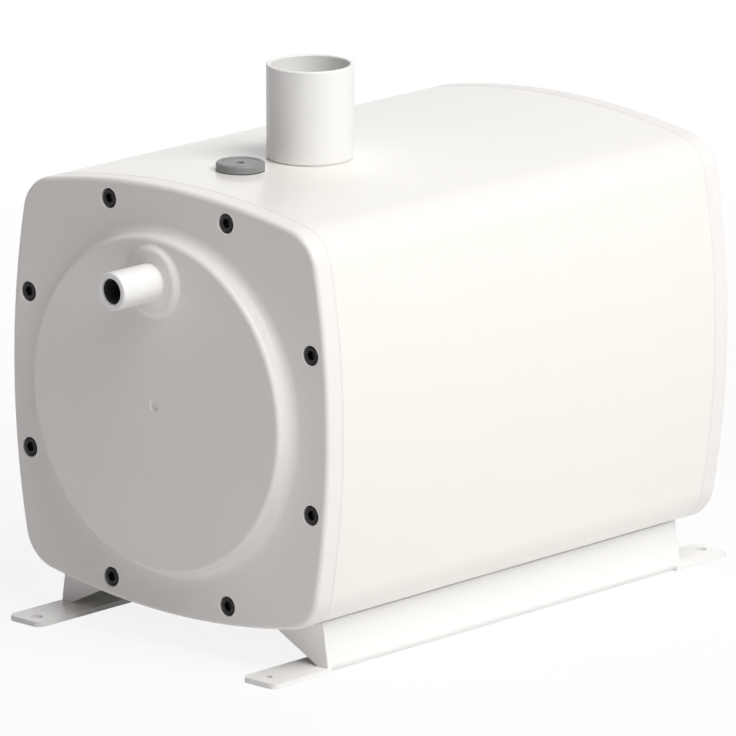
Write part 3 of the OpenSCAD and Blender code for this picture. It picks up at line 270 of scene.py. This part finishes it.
def carve(piece, cutter, operation="DIFFERENCE"):
    """Cuts the cutter out of a piece, or joins it on, and takes the cutter away."""
    boolean = piece.modifiers.new("carve", "BOOLEAN")
    boolean.object = cutter
    boolean.operation = operation
    boolean.solver = "EXACT"
    graph = bpy.context.evaluated_depsgraph_get()
    result = bpy.data.meshes.new_from_object(piece.evaluated_get(graph))
    piece.modifiers.clear()
    piece.data = result
    bpy.data.objects.remove(cutter)


def circle(radius, height, steps):
    """Points on a circle about the local Z axis."""
    turns = [2 * math.pi * i / steps for i in range(steps)]
    return [Vector((radius * math.cos(t), radius * math.sin(t), height)) for t in turns]


def turned(name, path, place, steps=64, closed=False):
    """Turns a path of (radius, height) about the local Z axis and sets it at its places."""
    places = place if isinstance(place, list) else [place]
    parts = []
    for spot in places:
        rings = []
        for radius, height in path:
            ring = [Vector((0, 0, height))] if radius < ON_AXIS else circle(radius, height, steps)
            rings.append([spot @ point for point in ring])
        parts.append(skin(name, rings, closed))
    return joined(name, parts)


def joined(name, parts):
    """Makes one piece of several."""
    whole = bmesh.new()
    for part in parts:
        whole.from_mesh(part.data)
        bpy.data.objects.remove(part)
    mesh = bpy.data.meshes.new(name)
    whole.to_mesh(mesh)
    whole.free()
    piece = bpy.data.objects.new(name, mesh)
    bpy.context.scene.collection.objects.link(piece)
    return piece


def facing(end, x, up, y):
    """A place whose local Z axis looks out of the front cover, or out of the rear one."""
    outward = Matrix.Rotation(-end * math.pi / 2, 4, "X")
    return Matrix.Translation((x, end * y, AXIS_H + up)) @ outward


def screw_places(end, y):
    """The eight screws' places on a cover, at a distance from the middle of the tank."""
    places = []
    for i in range(SCREW_COUNT):
        turn = 2 * math.pi * (i + 0.5) / SCREW_COUNT
        x, up = SCREW_CIRCLE_R * math.cos(turn), SCREW_CIRCLE_R * math.sin(turn)
        places.append(facing(end, x, up, y))
    return places


def cover(name, end):
    """One cover with its disc, rounded rim, counterbores and recess."""
    top = rounded([
        (0, DISC_Y - DIMPLE_DEPTH, 0), (DIMPLE_R, DISC_Y - DIMPLE_DEPTH, DIMPLE_SOFT),
        (DIMPLE_R + DIMPLE_SOFT, DISC_Y, DIMPLE_SOFT), (DISC_TOP_R, DISC_Y, DISC_FILLET),
        (DISC_FOOT_R, RIM_Y, FOOT_FILLET), (RIM_PLAIN_R, RIM_Y, 0)])
    rings = [[Vector((0, end * top[0].y, AXIS_H))]]
    rings += [disc_ring(point.x, end * point.y) for point in top[1:]]
    for step in range(FILLET_STEPS + 1):
        turn = math.pi / 2 * step / FILLET_STEPS
        inset, drop = EDGE_R * (1 - math.sin(turn)), EDGE_R * (1 - math.cos(turn))
        rings.append(housing_ring(inset, end * (RIM_Y - drop)))
    rings.append(housing_ring(0, end * (COVER_BACK_Y + BACK_EDGE)))
    rings.append(housing_ring(BACK_EDGE, end * COVER_BACK_Y))
    rings.append(disc_ring(RECESS_R, end * COVER_BACK_Y))
    rings.append(disc_ring(RECESS_R, end * RECESS_Y))
    rings.append([Vector((0, end * RECESS_Y, AXIS_H))])
    blank = skin(name, rings)
    bore = rounded([
        (0, OVERRUN, 0), (COUNTERBORE_R + COUNTERBORE_SOFT, OVERRUN, 0),
        (COUNTERBORE_R + COUNTERBORE_SOFT, 0, 0), (COUNTERBORE_R, -COUNTERBORE_SOFT, 0),
        (COUNTERBORE_R, -COUNTERBORE_DEPTH, 0), (SCREW_HOLE_R, -COUNTERBORE_DEPTH, 0),
        (SCREW_HOLE_R, COVER_BACK_Y - RIM_Y - OVERRUN, 0), (0, COVER_BACK_Y - RIM_Y - OVERRUN, 0)])
    carve(blank, turned("counterbores", bore, screw_places(end, RIM_Y), BORE_STEPS))
    return blank


cover_plastic = plastic("cover_plastic", COVER_PALE_SHADE_TINTED, COVER_DRIFT_SHADE_TINTED, roughness=0.42, patch=14.0,
                        bump=0.06)
front = cover("front_cover_moulding", -1)
boss = turned("boss", rounded([
    (0, 0, 0), (BOSS_TOP_R, 0, BOSS_EDGE), (BOSS_TOP_R + BOSS_EDGE, DISC_Y - BOSS_Y, BOSS_EDGE),
    (BOSS_FOOT_R, DISC_Y - BOSS_Y - BOSS_BED, 0), (BOSS_TOP_R, RECESS_Y - BOSS_Y + OVERRUN, 0),
    (0, RECESS_Y - BOSS_Y + OVERRUN, 0)]), facing(-1, 0, NOZZLE_UP, BOSS_Y), BOSS_STEPS)
carve(front, boss, "UNION")
hole = turned("hole", [Vector(p) for p in (
    (0, OVERRUN), (NOZZLE_HOLE_R, OVERRUN), (NOZZLE_HOLE_R, RIM_Y - BOSS_Y), (0, RIM_Y - BOSS_Y))],
    facing(-1, 0, NOZZLE_UP, BOSS_Y))
carve(front, hole)
dress(front, cover_plastic, "pale_cover", "front_cover")
rear = cover("rear_cover_moulding", 1)
hole = turned("hole", [Vector(p) for p in (
    (0, OVERRUN), (GLAND_HOLE_R, OVERRUN), (GLAND_HOLE_R, RIM_Y - DISC_Y), (0, RIM_Y - DISC_Y))],
    facing(1, 0, -GLAND_DROP, DISC_Y))
carve(rear, hole)
dress(rear, cover_plastic, "pale_cover", "rear_cover")

# Cover screws. Round-headed steel screws with a hexagon socket and a black finish, sunk
# into the counterbores and turned into the tank's bosses.
HEAD_R = 0.005
HEAD_Y = 0.1695
HEAD_H = 0.006
HEAD_EDGE = 0.0007
SHANK_R = 0.003
SHANK_L = 0.024
KEY_R = 0.0029
KEY_DEPTH = 0.0035
KEY_CONE = 0.0008
KEY_CHAMFER = 0.0004
HEAD_STEPS = 48
BLACK_STEEL = (0.018, 0.0175, 0.017)
METAL_SHADE = 0.8
METAL_GRAIN = 0.08
METAL_PATCH = 90.0
METAL_SKIN = 700.0


def metal(name, colour, roughness, brushed=0.0, metallic=1.0, bump=0.05):
    """Metal with a patchy gloss; brushed draws the patches out along the object."""
    shade = [channel * METAL_SHADE for channel in colour]
    material = plastic(name, colour, shade, roughness, METAL_GRAIN, METAL_PATCH, METAL_SKIN, bump)
    tree = material.node_tree
    tree.nodes["Principled BSDF"].inputs["Metallic"].default_value = metallic
    if brushed:
        stretch = tree.nodes.new("ShaderNodeMapping")
        stretch.inputs["Scale"].default_value = (1.0, brushed, 1.0)
        place = tree.nodes["Texture Coordinate"]
        tree.links.new(place.outputs["Object"], stretch.inputs["Vector"])
        for noise in [node for node in tree.nodes if node.type == "TEX_NOISE"]:
            tree.links.new(stretch.outputs["Vector"], noise.inputs["Vector"])
    return material


def hexagon_ring(radius, height):
    """Points on a hexagon, one for every point of the screw head's circle."""
    ring = []
    for i in range(HEAD_STEPS):
        turn = 2 * math.pi * i / HEAD_STEPS
        reach = radius * math.cos(math.pi / 6) / math.cos((turn % (math.pi / 3)) - math.pi / 6)
        ring.append(Vector((reach * math.cos(turn), reach * math.sin(turn), height)))
    return ring


def socket_screw(spot):
    """One screw, from the cone at the foot of its socket out and down to its tip."""
    rings = [[spot @ Vector((0, 0, -KEY_DEPTH - KEY_CONE))]]
    for radius, height in ((KEY_R, -KEY_DEPTH), (KEY_R, -KEY_CHAMFER), (KEY_R + KEY_CHAMFER, 0)):
        rings.append([spot @ point for point in hexagon_ring(radius, height)])
    outside = rounded([
        (KEY_R, 0, 0), (HEAD_R, 0, HEAD_EDGE), (HEAD_R, -HEAD_H, 0), (SHANK_R, -HEAD_H, 0),
        (SHANK_R, -HEAD_H - SHANK_L, 0), (0, -HEAD_H - SHANK_L, 0)])[1:]
    for radius, height in outside[:-1]:
        rings.append([spot @ point for point in circle(radius, height, HEAD_STEPS)])
    rings.append([spot @ Vector((0, 0, outside[-1].y))])
    return skin("screw", rings)


black_steel = metal("black_steel", BLACK_STEEL, roughness=0.42, metallic=0.6)
for end, node in ((-1, "front_cover_screws"), (1, "rear_cover_screws")):
    screws = joined(node + "_black", [socket_screw(spot) for spot in screw_places(end, HEAD_Y)])
    dress(screws, black_steel, "black_screws", node)

# Inlet pipe. A length of standard 50 mm plastic waste pipe with a lightly rounded mouth.
# Its lower end is stepped down and pushed through the roof into the socket below.
PIPE_PLACE = Matrix.Translation((0.006, -0.059, 0.0))
PIPE_R = 0.025
PIPE_BORE_R = 0.0225
PIPE_TAIL_R = 0.024
PIPE_LIP = 0.0009
PIPE_FOOT = 0.0005
PIPE_STEPS = 128
PIPE_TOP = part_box("inlet_pipe")[1][2]
PIPE_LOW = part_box("inlet_pipe")[0][2]
PIPE_SHOULDER = 0.26797
PIPE_WHITE = (0.90, 0.893, 0.872)
PIPE_SHADE = (0.88, 0.873, 0.852)
pipe_plastic = plastic("pipe_plastic", PIPE_WHITE, PIPE_SHADE, roughness=0.36, patch=30.0)
pipe = turned("inlet_pipe_stub", rounded([
    (PIPE_BORE_R, PIPE_LOW, 0), (PIPE_BORE_R, PIPE_TOP, PIPE_LIP), (PIPE_R, PIPE_TOP, PIPE_LIP),
    (PIPE_R, PIPE_SHOULDER, PIPE_FOOT), (PIPE_TAIL_R, PIPE_SHOULDER, 0),
    (PIPE_TAIL_R, PIPE_LOW, 0)]), PIPE_PLACE, PIPE_STEPS, closed=True)
dress(pipe, pipe_plastic, "white_housing", "inlet_pipe")

# Vent plug. A low grey plastic button that screws into the roof on a rubber washer and
# lets the tank breathe through the hole at its middle.
VENT_PLACE = Matrix.Translation((0.0, -0.110, 0.0))
VENT_R = 0.014
VENT_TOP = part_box("vent_plug")[1][2]
VENT_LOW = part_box("vent_plug")[0][2]
VENT_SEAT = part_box("vent_seal")[1][2]
VENT_SEAL_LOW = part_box("vent_seal")[0][2]
VENT_SEAL_R = 0.0139
VENT_SEAL_HOLE_R = 0.0081
VENT_EDGE = 0.0014
VENT_DISH_R = 0.0105
VENT_DISH = 0.0006
VENT_HOLE_R = 0.00225
VENT_THREAD_R = 0.008
VENT_GREY = (0.26, 0.26, 0.26)
VENT_GREY_SHADE = (0.22, 0.22, 0.22)
RUBBER_BLACK = (0.035, 0.035, 0.036)
RUBBER_SHADE = (0.024, 0.024, 0.025)
vent_plastic = plastic("vent_plastic", VENT_GREY, VENT_GREY_SHADE, roughness=0.45, patch=70.0)
vent = turned("vent_button", rounded([
    (VENT_HOLE_R, VENT_LOW, 0), (VENT_HOLE_R, VENT_TOP - VENT_DISH, DIMPLE_SOFT),
    (VENT_DISH_R, VENT_TOP - VENT_DISH, VENT_DISH),
    (VENT_DISH_R + VENT_DISH, VENT_TOP, VENT_DISH / 2),
    (VENT_R, VENT_TOP, VENT_EDGE), (VENT_R, VENT_SEAT, 0), (VENT_THREAD_R, VENT_SEAT, 0),
    (VENT_THREAD_R, VENT_LOW, 0)]), VENT_PLACE, closed=True)
dress(vent, vent_plastic, "grey_moulding", "vent_plug")
black_rubber = plastic("black_rubber", RUBBER_BLACK, RUBBER_SHADE, roughness=0.7, patch=50.0,
                       bump=0.25)
washer = turned("vent_washer", rounded([
    (VENT_SEAL_HOLE_R, VENT_SEAL_LOW, 0), (VENT_SEAL_HOLE_R, VENT_SEAT, 0),
    (VENT_SEAL_R, VENT_SEAT, VENT_DISH / 2), (VENT_SEAL_R, VENT_SEAL_LOW, 0)]),
    VENT_PLACE, closed=True)
dress(washer, black_rubber, "black_rubber", "vent_seal")

# Discharge nozzle. A plain white plastic tube that passes through the boss on the front
# cover; its shoulder rests on the boss and a nut holds it from inside. Its bore is deep
# in shade, and a thin black sleeve inside it is that shade painted in.
NOZZLE_R = 0.011
NOZZLE_BORE_R = 0.007
NOZZLE_TAIL_R = 0.010
NOZZLE_TIP_Y = 0.215
NOZZLE_TAIL_Y = -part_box("discharge_nozzle")[1][1]
NOZZLE_TIP_EDGE = 0.0012
NOZZLE_BORE_EDGE = 0.0006
# Painted shade: a thin black sleeve in the bore. Its thickness, how far in from the tip it ends,
# and its edge.
SHADE_SLEEVE_T = 0.0005
SHADE_SLEEVE_IN = 0.0020
SHADE_SLEEVE_EDGE = 0.0002
NOZZLE_GROOVE_R = 0.0086
NOZZLE_GROOVE_IN = 0.003
NOZZLE_GROOVE_L = 0.0024
NOZZLE_STEPS = 96
groove_out = BOSS_Y - NOZZLE_GROOVE_IN
nozzle = turned("discharge_nozzle_tube", rounded([
    (NOZZLE_BORE_R + SHADE_SLEEVE_T, NOZZLE_TAIL_Y, 0),
    (NOZZLE_BORE_R + SHADE_SLEEVE_T, NOZZLE_TIP_Y, NOZZLE_BORE_EDGE),
    (NOZZLE_R, NOZZLE_TIP_Y, NOZZLE_TIP_EDGE), (NOZZLE_R, BOSS_Y, 0), (NOZZLE_TAIL_R, BOSS_Y, 0),
    (NOZZLE_TAIL_R, groove_out, 0), (NOZZLE_GROOVE_R, groove_out, 0),
    (NOZZLE_GROOVE_R, groove_out - NOZZLE_GROOVE_L, 0),
    (NOZZLE_TAIL_R, groove_out - NOZZLE_GROOVE_L, 0), (NOZZLE_TAIL_R, NOZZLE_TAIL_Y, 0)]),
    facing(-1, 0, NOZZLE_UP, 0), NOZZLE_STEPS, closed=True)
dress(nozzle, pipe_plastic, "white_housing", "discharge_nozzle")
# Painted shade: the black sleeve darkens the nozzle's bore, where only shade falls.
bore_shade_sleeve = turned("nozzle_bore_painted_shade", rounded([
    (NOZZLE_BORE_R, NOZZLE_TAIL_Y + OVERRUN, 0),
    (NOZZLE_BORE_R, NOZZLE_TIP_Y - SHADE_SLEEVE_IN, SHADE_SLEEVE_EDGE),
    (NOZZLE_BORE_R + SHADE_SLEEVE_T, NOZZLE_TIP_Y - SHADE_SLEEVE_IN, SHADE_SLEEVE_EDGE),
    (NOZZLE_BORE_R + SHADE_SLEEVE_T, NOZZLE_TAIL_Y + OVERRUN, 0)]),
    facing(-1, 0, NOZZLE_UP, 0), NOZZLE_STEPS, closed=True)
dress(bore_shade_sleeve, black_rubber, "black_rubber")

# Foot rails. Each is a 3 mm steel sheet, folded to a seat that follows the housing's
# underside, a leaning web and a floor flange whose rounded ends carry the fixing holes.
# A welded gusset closes each end, and the whole is powder coated white.
TRACK_HALF = 0.106
WEB_MEET_X = 0.1015
WEB_IN_MEET_X = 0.0988
WEB_IN_FOOT_X = 0.1027
SEAT_IN_X = 0.064
SEAT_STEPS = 14
FLANGE_IN_X = 0.080
RAIL_HALF_L = 0.150
FOOT_HALF_L = 0.194
SHEET_T = 0.003
SEAT_GAP = 0.0002
WEB_BEND = 0.004
FLANGE_END_R = 0.005
FOOT_HOLE_X = 0.091
FOOT_HOLE_Y = 0.185
FOOT_HOLE_R = 0.0035
PAD_R = 0.007
PAD_X = 0.073
PAD_HOLE_R = 0.0027
PAD_YS = (-0.108, 0.0, 0.108)
PAD_DROP = 0.003
INNER_BEND = 0.001
SHEET_EDGE = 0.0005
EDGE_SEGMENTS = 2
EDGE_ANGLE = math.radians(50)
WELD_PROUD = 0.0001
COAT_WHITE = (0.90, 0.893, 0.872)
COAT_SHADE = (0.88, 0.873, 0.852)


def underside(x, gap):
    """Height of the housing's underside above the floor, at a distance from the middle."""
    if x > CORNER_MID + CORNER_R * math.sin(SIDE_LEAN):
        return AXIS_H - CORNER_MID - math.sqrt((CORNER_R + gap) ** 2 - (x - CORNER_MID) ** 2)
    return AXIS_H + BULGE_MID - math.sqrt((SIDE_R + gap) ** 2 - x ** 2)


def seat_line(x_from, x_to, gap):
    """Points along the housing's underside, a gap below it."""
    xs = [x_from + (x_to - x_from) * i / SEAT_STEPS for i in range(SEAT_STEPS + 1)]
    return [(x, underside(x, gap)) for x in xs]


def slab(name, outline, low, high, upright=False):
    """A plate: an outline in X and Z extruded along Y, or one in X and Y extruded up."""
    rings = []
    for level in (low, high):
        if upright:
            rings.append([Vector((x, y, level)) for x, y in outline])
        else:
            rings.append([Vector((x, level, z)) for x, z in outline])
    plate = skin(name, rings)
    form = bmesh.new()
    form.from_mesh(plate.data)
    bmesh.ops.holes_fill(form, edges=form.edges)
    bmesh.ops.recalc_face_normals(form, faces=form.faces)
    form.to_mesh(plate.data)
    form.free()
    return plate


def drilled(name, radius, low, high, spots):
    """Upright round bars at several spots, for pads and holes."""
    path = [Vector(p) for p in ((0, low), (radius, low), (radius, high), (0, high))]
    return turned(name, path, [Matrix.Translation((x, y, 0)) for x, y in spots], BORE_STEPS)


def foot_rail(name, side):
    """One rail, on the right for side 1 and on the left for side -1."""
    def placed(points):
        return [(side * point[0], point[1]) for point in points]

    fold = rounded(
        [(FLANGE_IN_X, 0, 0), (TRACK_HALF, 0, WEB_BEND)]
        + [(*point, 0) for point in seat_line(WEB_MEET_X, SEAT_IN_X, SEAT_GAP)]
        + [(*point, 0) for point in seat_line(SEAT_IN_X, WEB_IN_MEET_X, SEAT_GAP + SHEET_T)]
        + [(WEB_IN_FOOT_X, SHEET_T, INNER_BEND), (FLANGE_IN_X, SHEET_T, 0)])
    rail = slab(name, placed(fold), -RAIL_HALF_L, RAIL_HALF_L)
    gusset = [(TRACK_HALF - SHEET_EDGE, SHEET_EDGE)]
    gusset += seat_line(WEB_MEET_X - SHEET_EDGE, SEAT_IN_X + SHEET_EDGE, SEAT_GAP + SHEET_EDGE)
    gusset += [(SEAT_IN_X + SHEET_EDGE, underside(SEAT_IN_X, SHEET_T)), (WEB_IN_FOOT_X, SHEET_EDGE)]
    tab_in = RAIL_HALF_L - SHEET_T
    for end in (-1, 1):
        span = sorted((end * (RAIL_HALF_L + WELD_PROUD), end * tab_in))
        carve(rail, slab("gusset", placed(gusset), *span), "UNION")
        tab = rounded([
            (FLANGE_IN_X, end * tab_in, 0), (TRACK_HALF, end * tab_in, 0),
            (TRACK_HALF, end * FOOT_HALF_L, FLANGE_END_R),
            (FLANGE_IN_X, end * FOOT_HALF_L, FLANGE_END_R)])
        carve(rail, slab("tab", placed(tab), 0.0, SHEET_T, upright=True), "UNION")
    pad_low = underside(PAD_X, 0) - SHEET_T - PAD_DROP
    pad_top = underside(PAD_X, 0) - SHEET_T / 2
    pad_spots = [(side * PAD_X, y) for y in PAD_YS]
    carve(rail, drilled("pads", PAD_R, pad_low, pad_top, pad_spots), "UNION")
    carve(rail, drilled("pad_holes", PAD_HOLE_R, pad_low - OVERRUN, pad_top + SHEET_T, pad_spots))
    hole_spots = [(side * FOOT_HOLE_X, y) for y in (-FOOT_HOLE_Y, FOOT_HOLE_Y)]
    carve(rail, drilled("floor_holes", FOOT_HOLE_R, -OVERRUN, SHEET_T + OVERRUN, hole_spots))
    return rail


powder_coat = plastic("powder_coat", COAT_WHITE, COAT_SHADE, roughness=0.38, skin_scale=900.0,
                      bump=0.12)
for side, node in ((1, "right_foot_rail"), (-1, "left_foot_rail")):
    rail = foot_rail(node + "_sheet", side)
    edge = rail.modifiers.new("edge", "BEVEL")
    edge.width, edge.segments = SHEET_EDGE, EDGE_SEGMENTS
    edge.limit_method, edge.angle_limit = "ANGLE", EDGE_ANGLE
    dress(rail, powder_coat, "white_painted_steel", node)

# Pump, motor, hoses, valve and float switch inside the tank. Their CAD solids have the
# right shapes, so each gets its real finish: moulded plastic, rubber, zinc-plated and
# brushed steel, cast aluminium, laminated core steel and enamelled copper wire.
MOULDING_PALE = (0.80, 0.795, 0.78)
MOULDING_SHADE = (0.76, 0.755, 0.74)
GREY_PLASTIC = (0.16, 0.16, 0.165)
GREY_SHADE = (0.12, 0.12, 0.125)
ZINC = (0.60, 0.61, 0.63)
CAST = (0.50, 0.51, 0.52)
CORE = (0.28, 0.28, 0.29)
COPPER = (0.55, 0.22, 0.09)
FLOAT_BLUE = (0.06, 0.17, 0.42)
FLOAT_SHADE = (0.05, 0.14, 0.36)
PLUNGER_RED = (0.42, 0.02, 0.015)
PLUNGER_SHADE = (0.34, 0.015, 0.012)
moulding = plastic("moulding", MOULDING_PALE, MOULDING_SHADE, roughness=0.45, patch=40.0, bump=0.08)
grey_plastic = plastic("grey_plastic", GREY_PLASTIC, GREY_SHADE, roughness=0.5, patch=60.0,
                       bump=0.12)
zinc = metal("zinc", ZINC, roughness=0.32)
cast = metal("cast_aluminium", CAST, roughness=0.55, bump=0.5)
laminated = metal("laminated_steel", CORE, roughness=0.5, brushed=40.0, bump=0.4)
copper = metal("copper_wire", COPPER, roughness=0.3, brushed=0.05, bump=0.6)
float_plastic = plastic("float_plastic", FLOAT_BLUE, FLOAT_SHADE, roughness=0.28, patch=35.0)
plunger_plastic = plastic("plunger_plastic", PLUNGER_RED, PLUNGER_SHADE, roughness=0.35,
                          patch=120.0)
clothe(moulding, "volute_casing", "impeller", "check_valve_body", "check_valve_cap",
       "suction_elbow", "float_arm")
clothe(grey_plastic, "nozzle_nut", "suction_strainer", "switch_body", "gland_body",
       "gland_locknut", "gland_dome_nut")
clothe(black_rubber, "inlet_seal", "nozzle_seal", "motor_plate_seal", "shaft_seal",
       "discharge_hose", "coupling_hose", "check_flap", "gland_insert")
clothe(zinc, "foot_rail_screws", "motor_plate_screws", "volute_screws", "impeller_nut",
       "motor_shaft", "front_bearing", "rear_bearing", "motor_tie_rods", "hose_clamps",
       "check_flap_pin", "float_bracket", "bracket_screws", "float_pin", "switch_screws")
clothe(cast, "motor_plate", "motor_casing", "motor_end_cap")
clothe(laminated, "rotor_core", "stator_core")
clothe(copper, "stator_winding")
clothe(float_plastic, "float_ball")
clothe(plunger_plastic, "switch_plunger")

# Camera. A long lens looks down on the front right corner, from where the screws, the
# disc, the pipe and the rail fall in the same places as in the photograph.
YAW, PITCH = math.radians(43.1), math.radians(14.2)
LENS_PX, PICTURE_PX, SENSOR_MM = 9000.0, 736.0, 36.0
FACE_PX, PX_PER_M = (167.5, 402.2), 1772.5
FAR_CLIP = 60.0
face_centre = Vector((0.0, -RIM_Y, AXIS_H))
aside = Vector((math.cos(YAW), math.sin(YAW), 0.0))
level_ahead = Vector((-math.sin(YAW), math.cos(YAW), 0.0))
ahead = level_ahead * math.cos(PITCH) - Vector((0.0, 0.0, math.sin(PITCH)))
above = aside.cross(ahead)
middle = PICTURE_PX / 2
eye = face_centre - ahead * (LENS_PX / PX_PER_M)
eye -= aside * ((FACE_PX[0] - middle) / PX_PER_M)
eye += above * ((FACE_PX[1] - middle) / PX_PER_M)
lens = bpy.data.cameras.new("photo_camera")
lens.lens = LENS_PX / PICTURE_PX * SENSOR_MM
lens.sensor_width = SENSOR_MM
lens.clip_end = FAR_CLIP
camera = bpy.data.objects.new("photo_camera", lens)
turn = Matrix((aside, above, -ahead)).transposed()
camera.matrix_world = Matrix.Translation(eye) @ turn.to_4x4()
bpy.context.scene.collection.objects.link(camera)
bpy.context.scene.camera = camera
bpy.context.scene.view_settings.view_transform = "Standard"

# Light. A broad window high on the right does most of it, and a wall far behind on the
# left gives a little back. The room is dim, but the camera and mirrors see it white.
LIT_POINT = Vector((0.0, 0.0, 0.15))
WINDOW_AWAY, WINDOW_SIZE, WINDOW_WATTS = (2.48, -0.08, 3.12), 3.0, 170.0
WALL_AWAY, WALL_SIZE, WALL_WATTS = (-2.2, 2.6, 1.0), 2.4, 34.0
ROOM_DIM = (0.108, 0.098, 0.107, 1.0)
WHITE = (1.0, 1.0, 1.0, 1.0)


def lamp(name, away, size, watts, mirrored=True):
    """A square soft light that hangs in the direction away and looks at the pump."""
    light = bpy.data.lights.new(name, "AREA")
    light.shape, light.size, light.energy = "SQUARE", size, watts
    piece = bpy.data.objects.new(name, light)
    piece.location = LIT_POINT + Vector(away)
    piece.rotation_mode = "QUATERNION"
    piece.rotation_quaternion = Vector(away).to_track_quat("Z", "Y")
    piece.visible_glossy = mirrored
    bpy.context.scene.collection.objects.link(piece)


def seen_by(tree, *rays):
    """A value that is 1 for the kinds of ray named here, and 0 for all others."""
    path = tree.nodes.new("ShaderNodeLightPath")
    value = path.outputs[rays[0]]
    for ray in rays[1:]:
        either = tree.nodes.new("ShaderNodeMath")
        either.operation = "MAXIMUM"
        tree.links.new(value, either.inputs[0])
        tree.links.new(path.outputs[ray], either.inputs[1])
        value = either.outputs[0]
    return value


lamp("window", WINDOW_AWAY, WINDOW_SIZE, WINDOW_WATTS)
lamp("far_wall", WALL_AWAY, WALL_SIZE, WALL_WATTS, mirrored=False)
world = bpy.data.worlds.new("room")
bpy.context.scene.world = world
world.use_nodes = True
room = world.node_tree
level = room.nodes.new("ShaderNodeMix")
level.data_type = "RGBA"
level.inputs["A"].default_value = ROOM_DIM
level.inputs["B"].default_value = WHITE
seen = seen_by(room, "Is Camera Ray", "Is Glossy Ray", "Is Transmission Ray")
room.links.new(seen, level.inputs["Factor"])
room.links.new(level.outputs["Result"], room.nodes["Background"].inputs["Color"])

# Floor. A sheet of white paper, matt where light falls on it. The camera sees some of
# that with the pump's soft shadow in it, mixed with a glow that grows to plain white
# away from the pump.
FLOOR_HALF = 12.0
FLOOR_DROP = 0.0003
PAPER = (0.87, 0.87, 0.87, 1.0)
PAPER_ROUGHNESS = 0.9
FADE = {"From Min": 0.35, "From Max": 1.1, "To Min": 0.87, "To Max": 1.0}
floor_mesh = bpy.data.meshes.new("floor")
floor_mesh.from_pydata([
    (-FLOOR_HALF, -FLOOR_HALF, 0), (FLOOR_HALF, -FLOOR_HALF, 0),
    (FLOOR_HALF, FLOOR_HALF, 0), (-FLOOR_HALF, FLOOR_HALF, 0)], [], [(0, 1, 2, 3)])
floor = bpy.data.objects.new("floor", floor_mesh)
floor.location.z = -FLOOR_DROP
bpy.context.scene.collection.objects.link(floor)
paper = bpy.data.materials.new("floor_paper")
paper.use_nodes = True
sheet = paper.node_tree
matt = sheet.nodes["Principled BSDF"]
matt.inputs["Base Color"].default_value = PAPER
matt.inputs["Roughness"].default_value = PAPER_ROUGHNESS
glow = sheet.nodes.new("ShaderNodeEmission")
glow.inputs["Color"].default_value = WHITE
both = sheet.nodes.new("ShaderNodeMixShader")
share = sheet.nodes.new("ShaderNodeMath")
share.operation = "MULTIPLY"
spot = sheet.nodes.new("ShaderNodeTexCoord")
reach = sheet.nodes.new("ShaderNodeVectorMath")
reach.operation = "LENGTH"
fade = sheet.nodes.new("ShaderNodeMapRange")
for socket, value in FADE.items():
    fade.inputs[socket].default_value = value
sheet.links.new(spot.outputs["Object"], reach.inputs[0])
sheet.links.new(reach.outputs["Value"], fade.inputs["Value"])
sheet.links.new(fade.outputs["Result"], share.inputs[1])
sheet.links.new(seen_by(sheet, "Is Camera Ray", "Is Glossy Ray"), share.inputs[0])
sheet.links.new(share.outputs[0], both.inputs["Fac"])
sheet.links.new(matt.outputs["BSDF"], both.inputs[1])
sheet.links.new(glow.outputs["Emission"], both.inputs[2])
sheet.links.new(both.outputs["Shader"], sheet.nodes["Material Output"].inputs["Surface"])
floor_mesh.materials.append(paper)
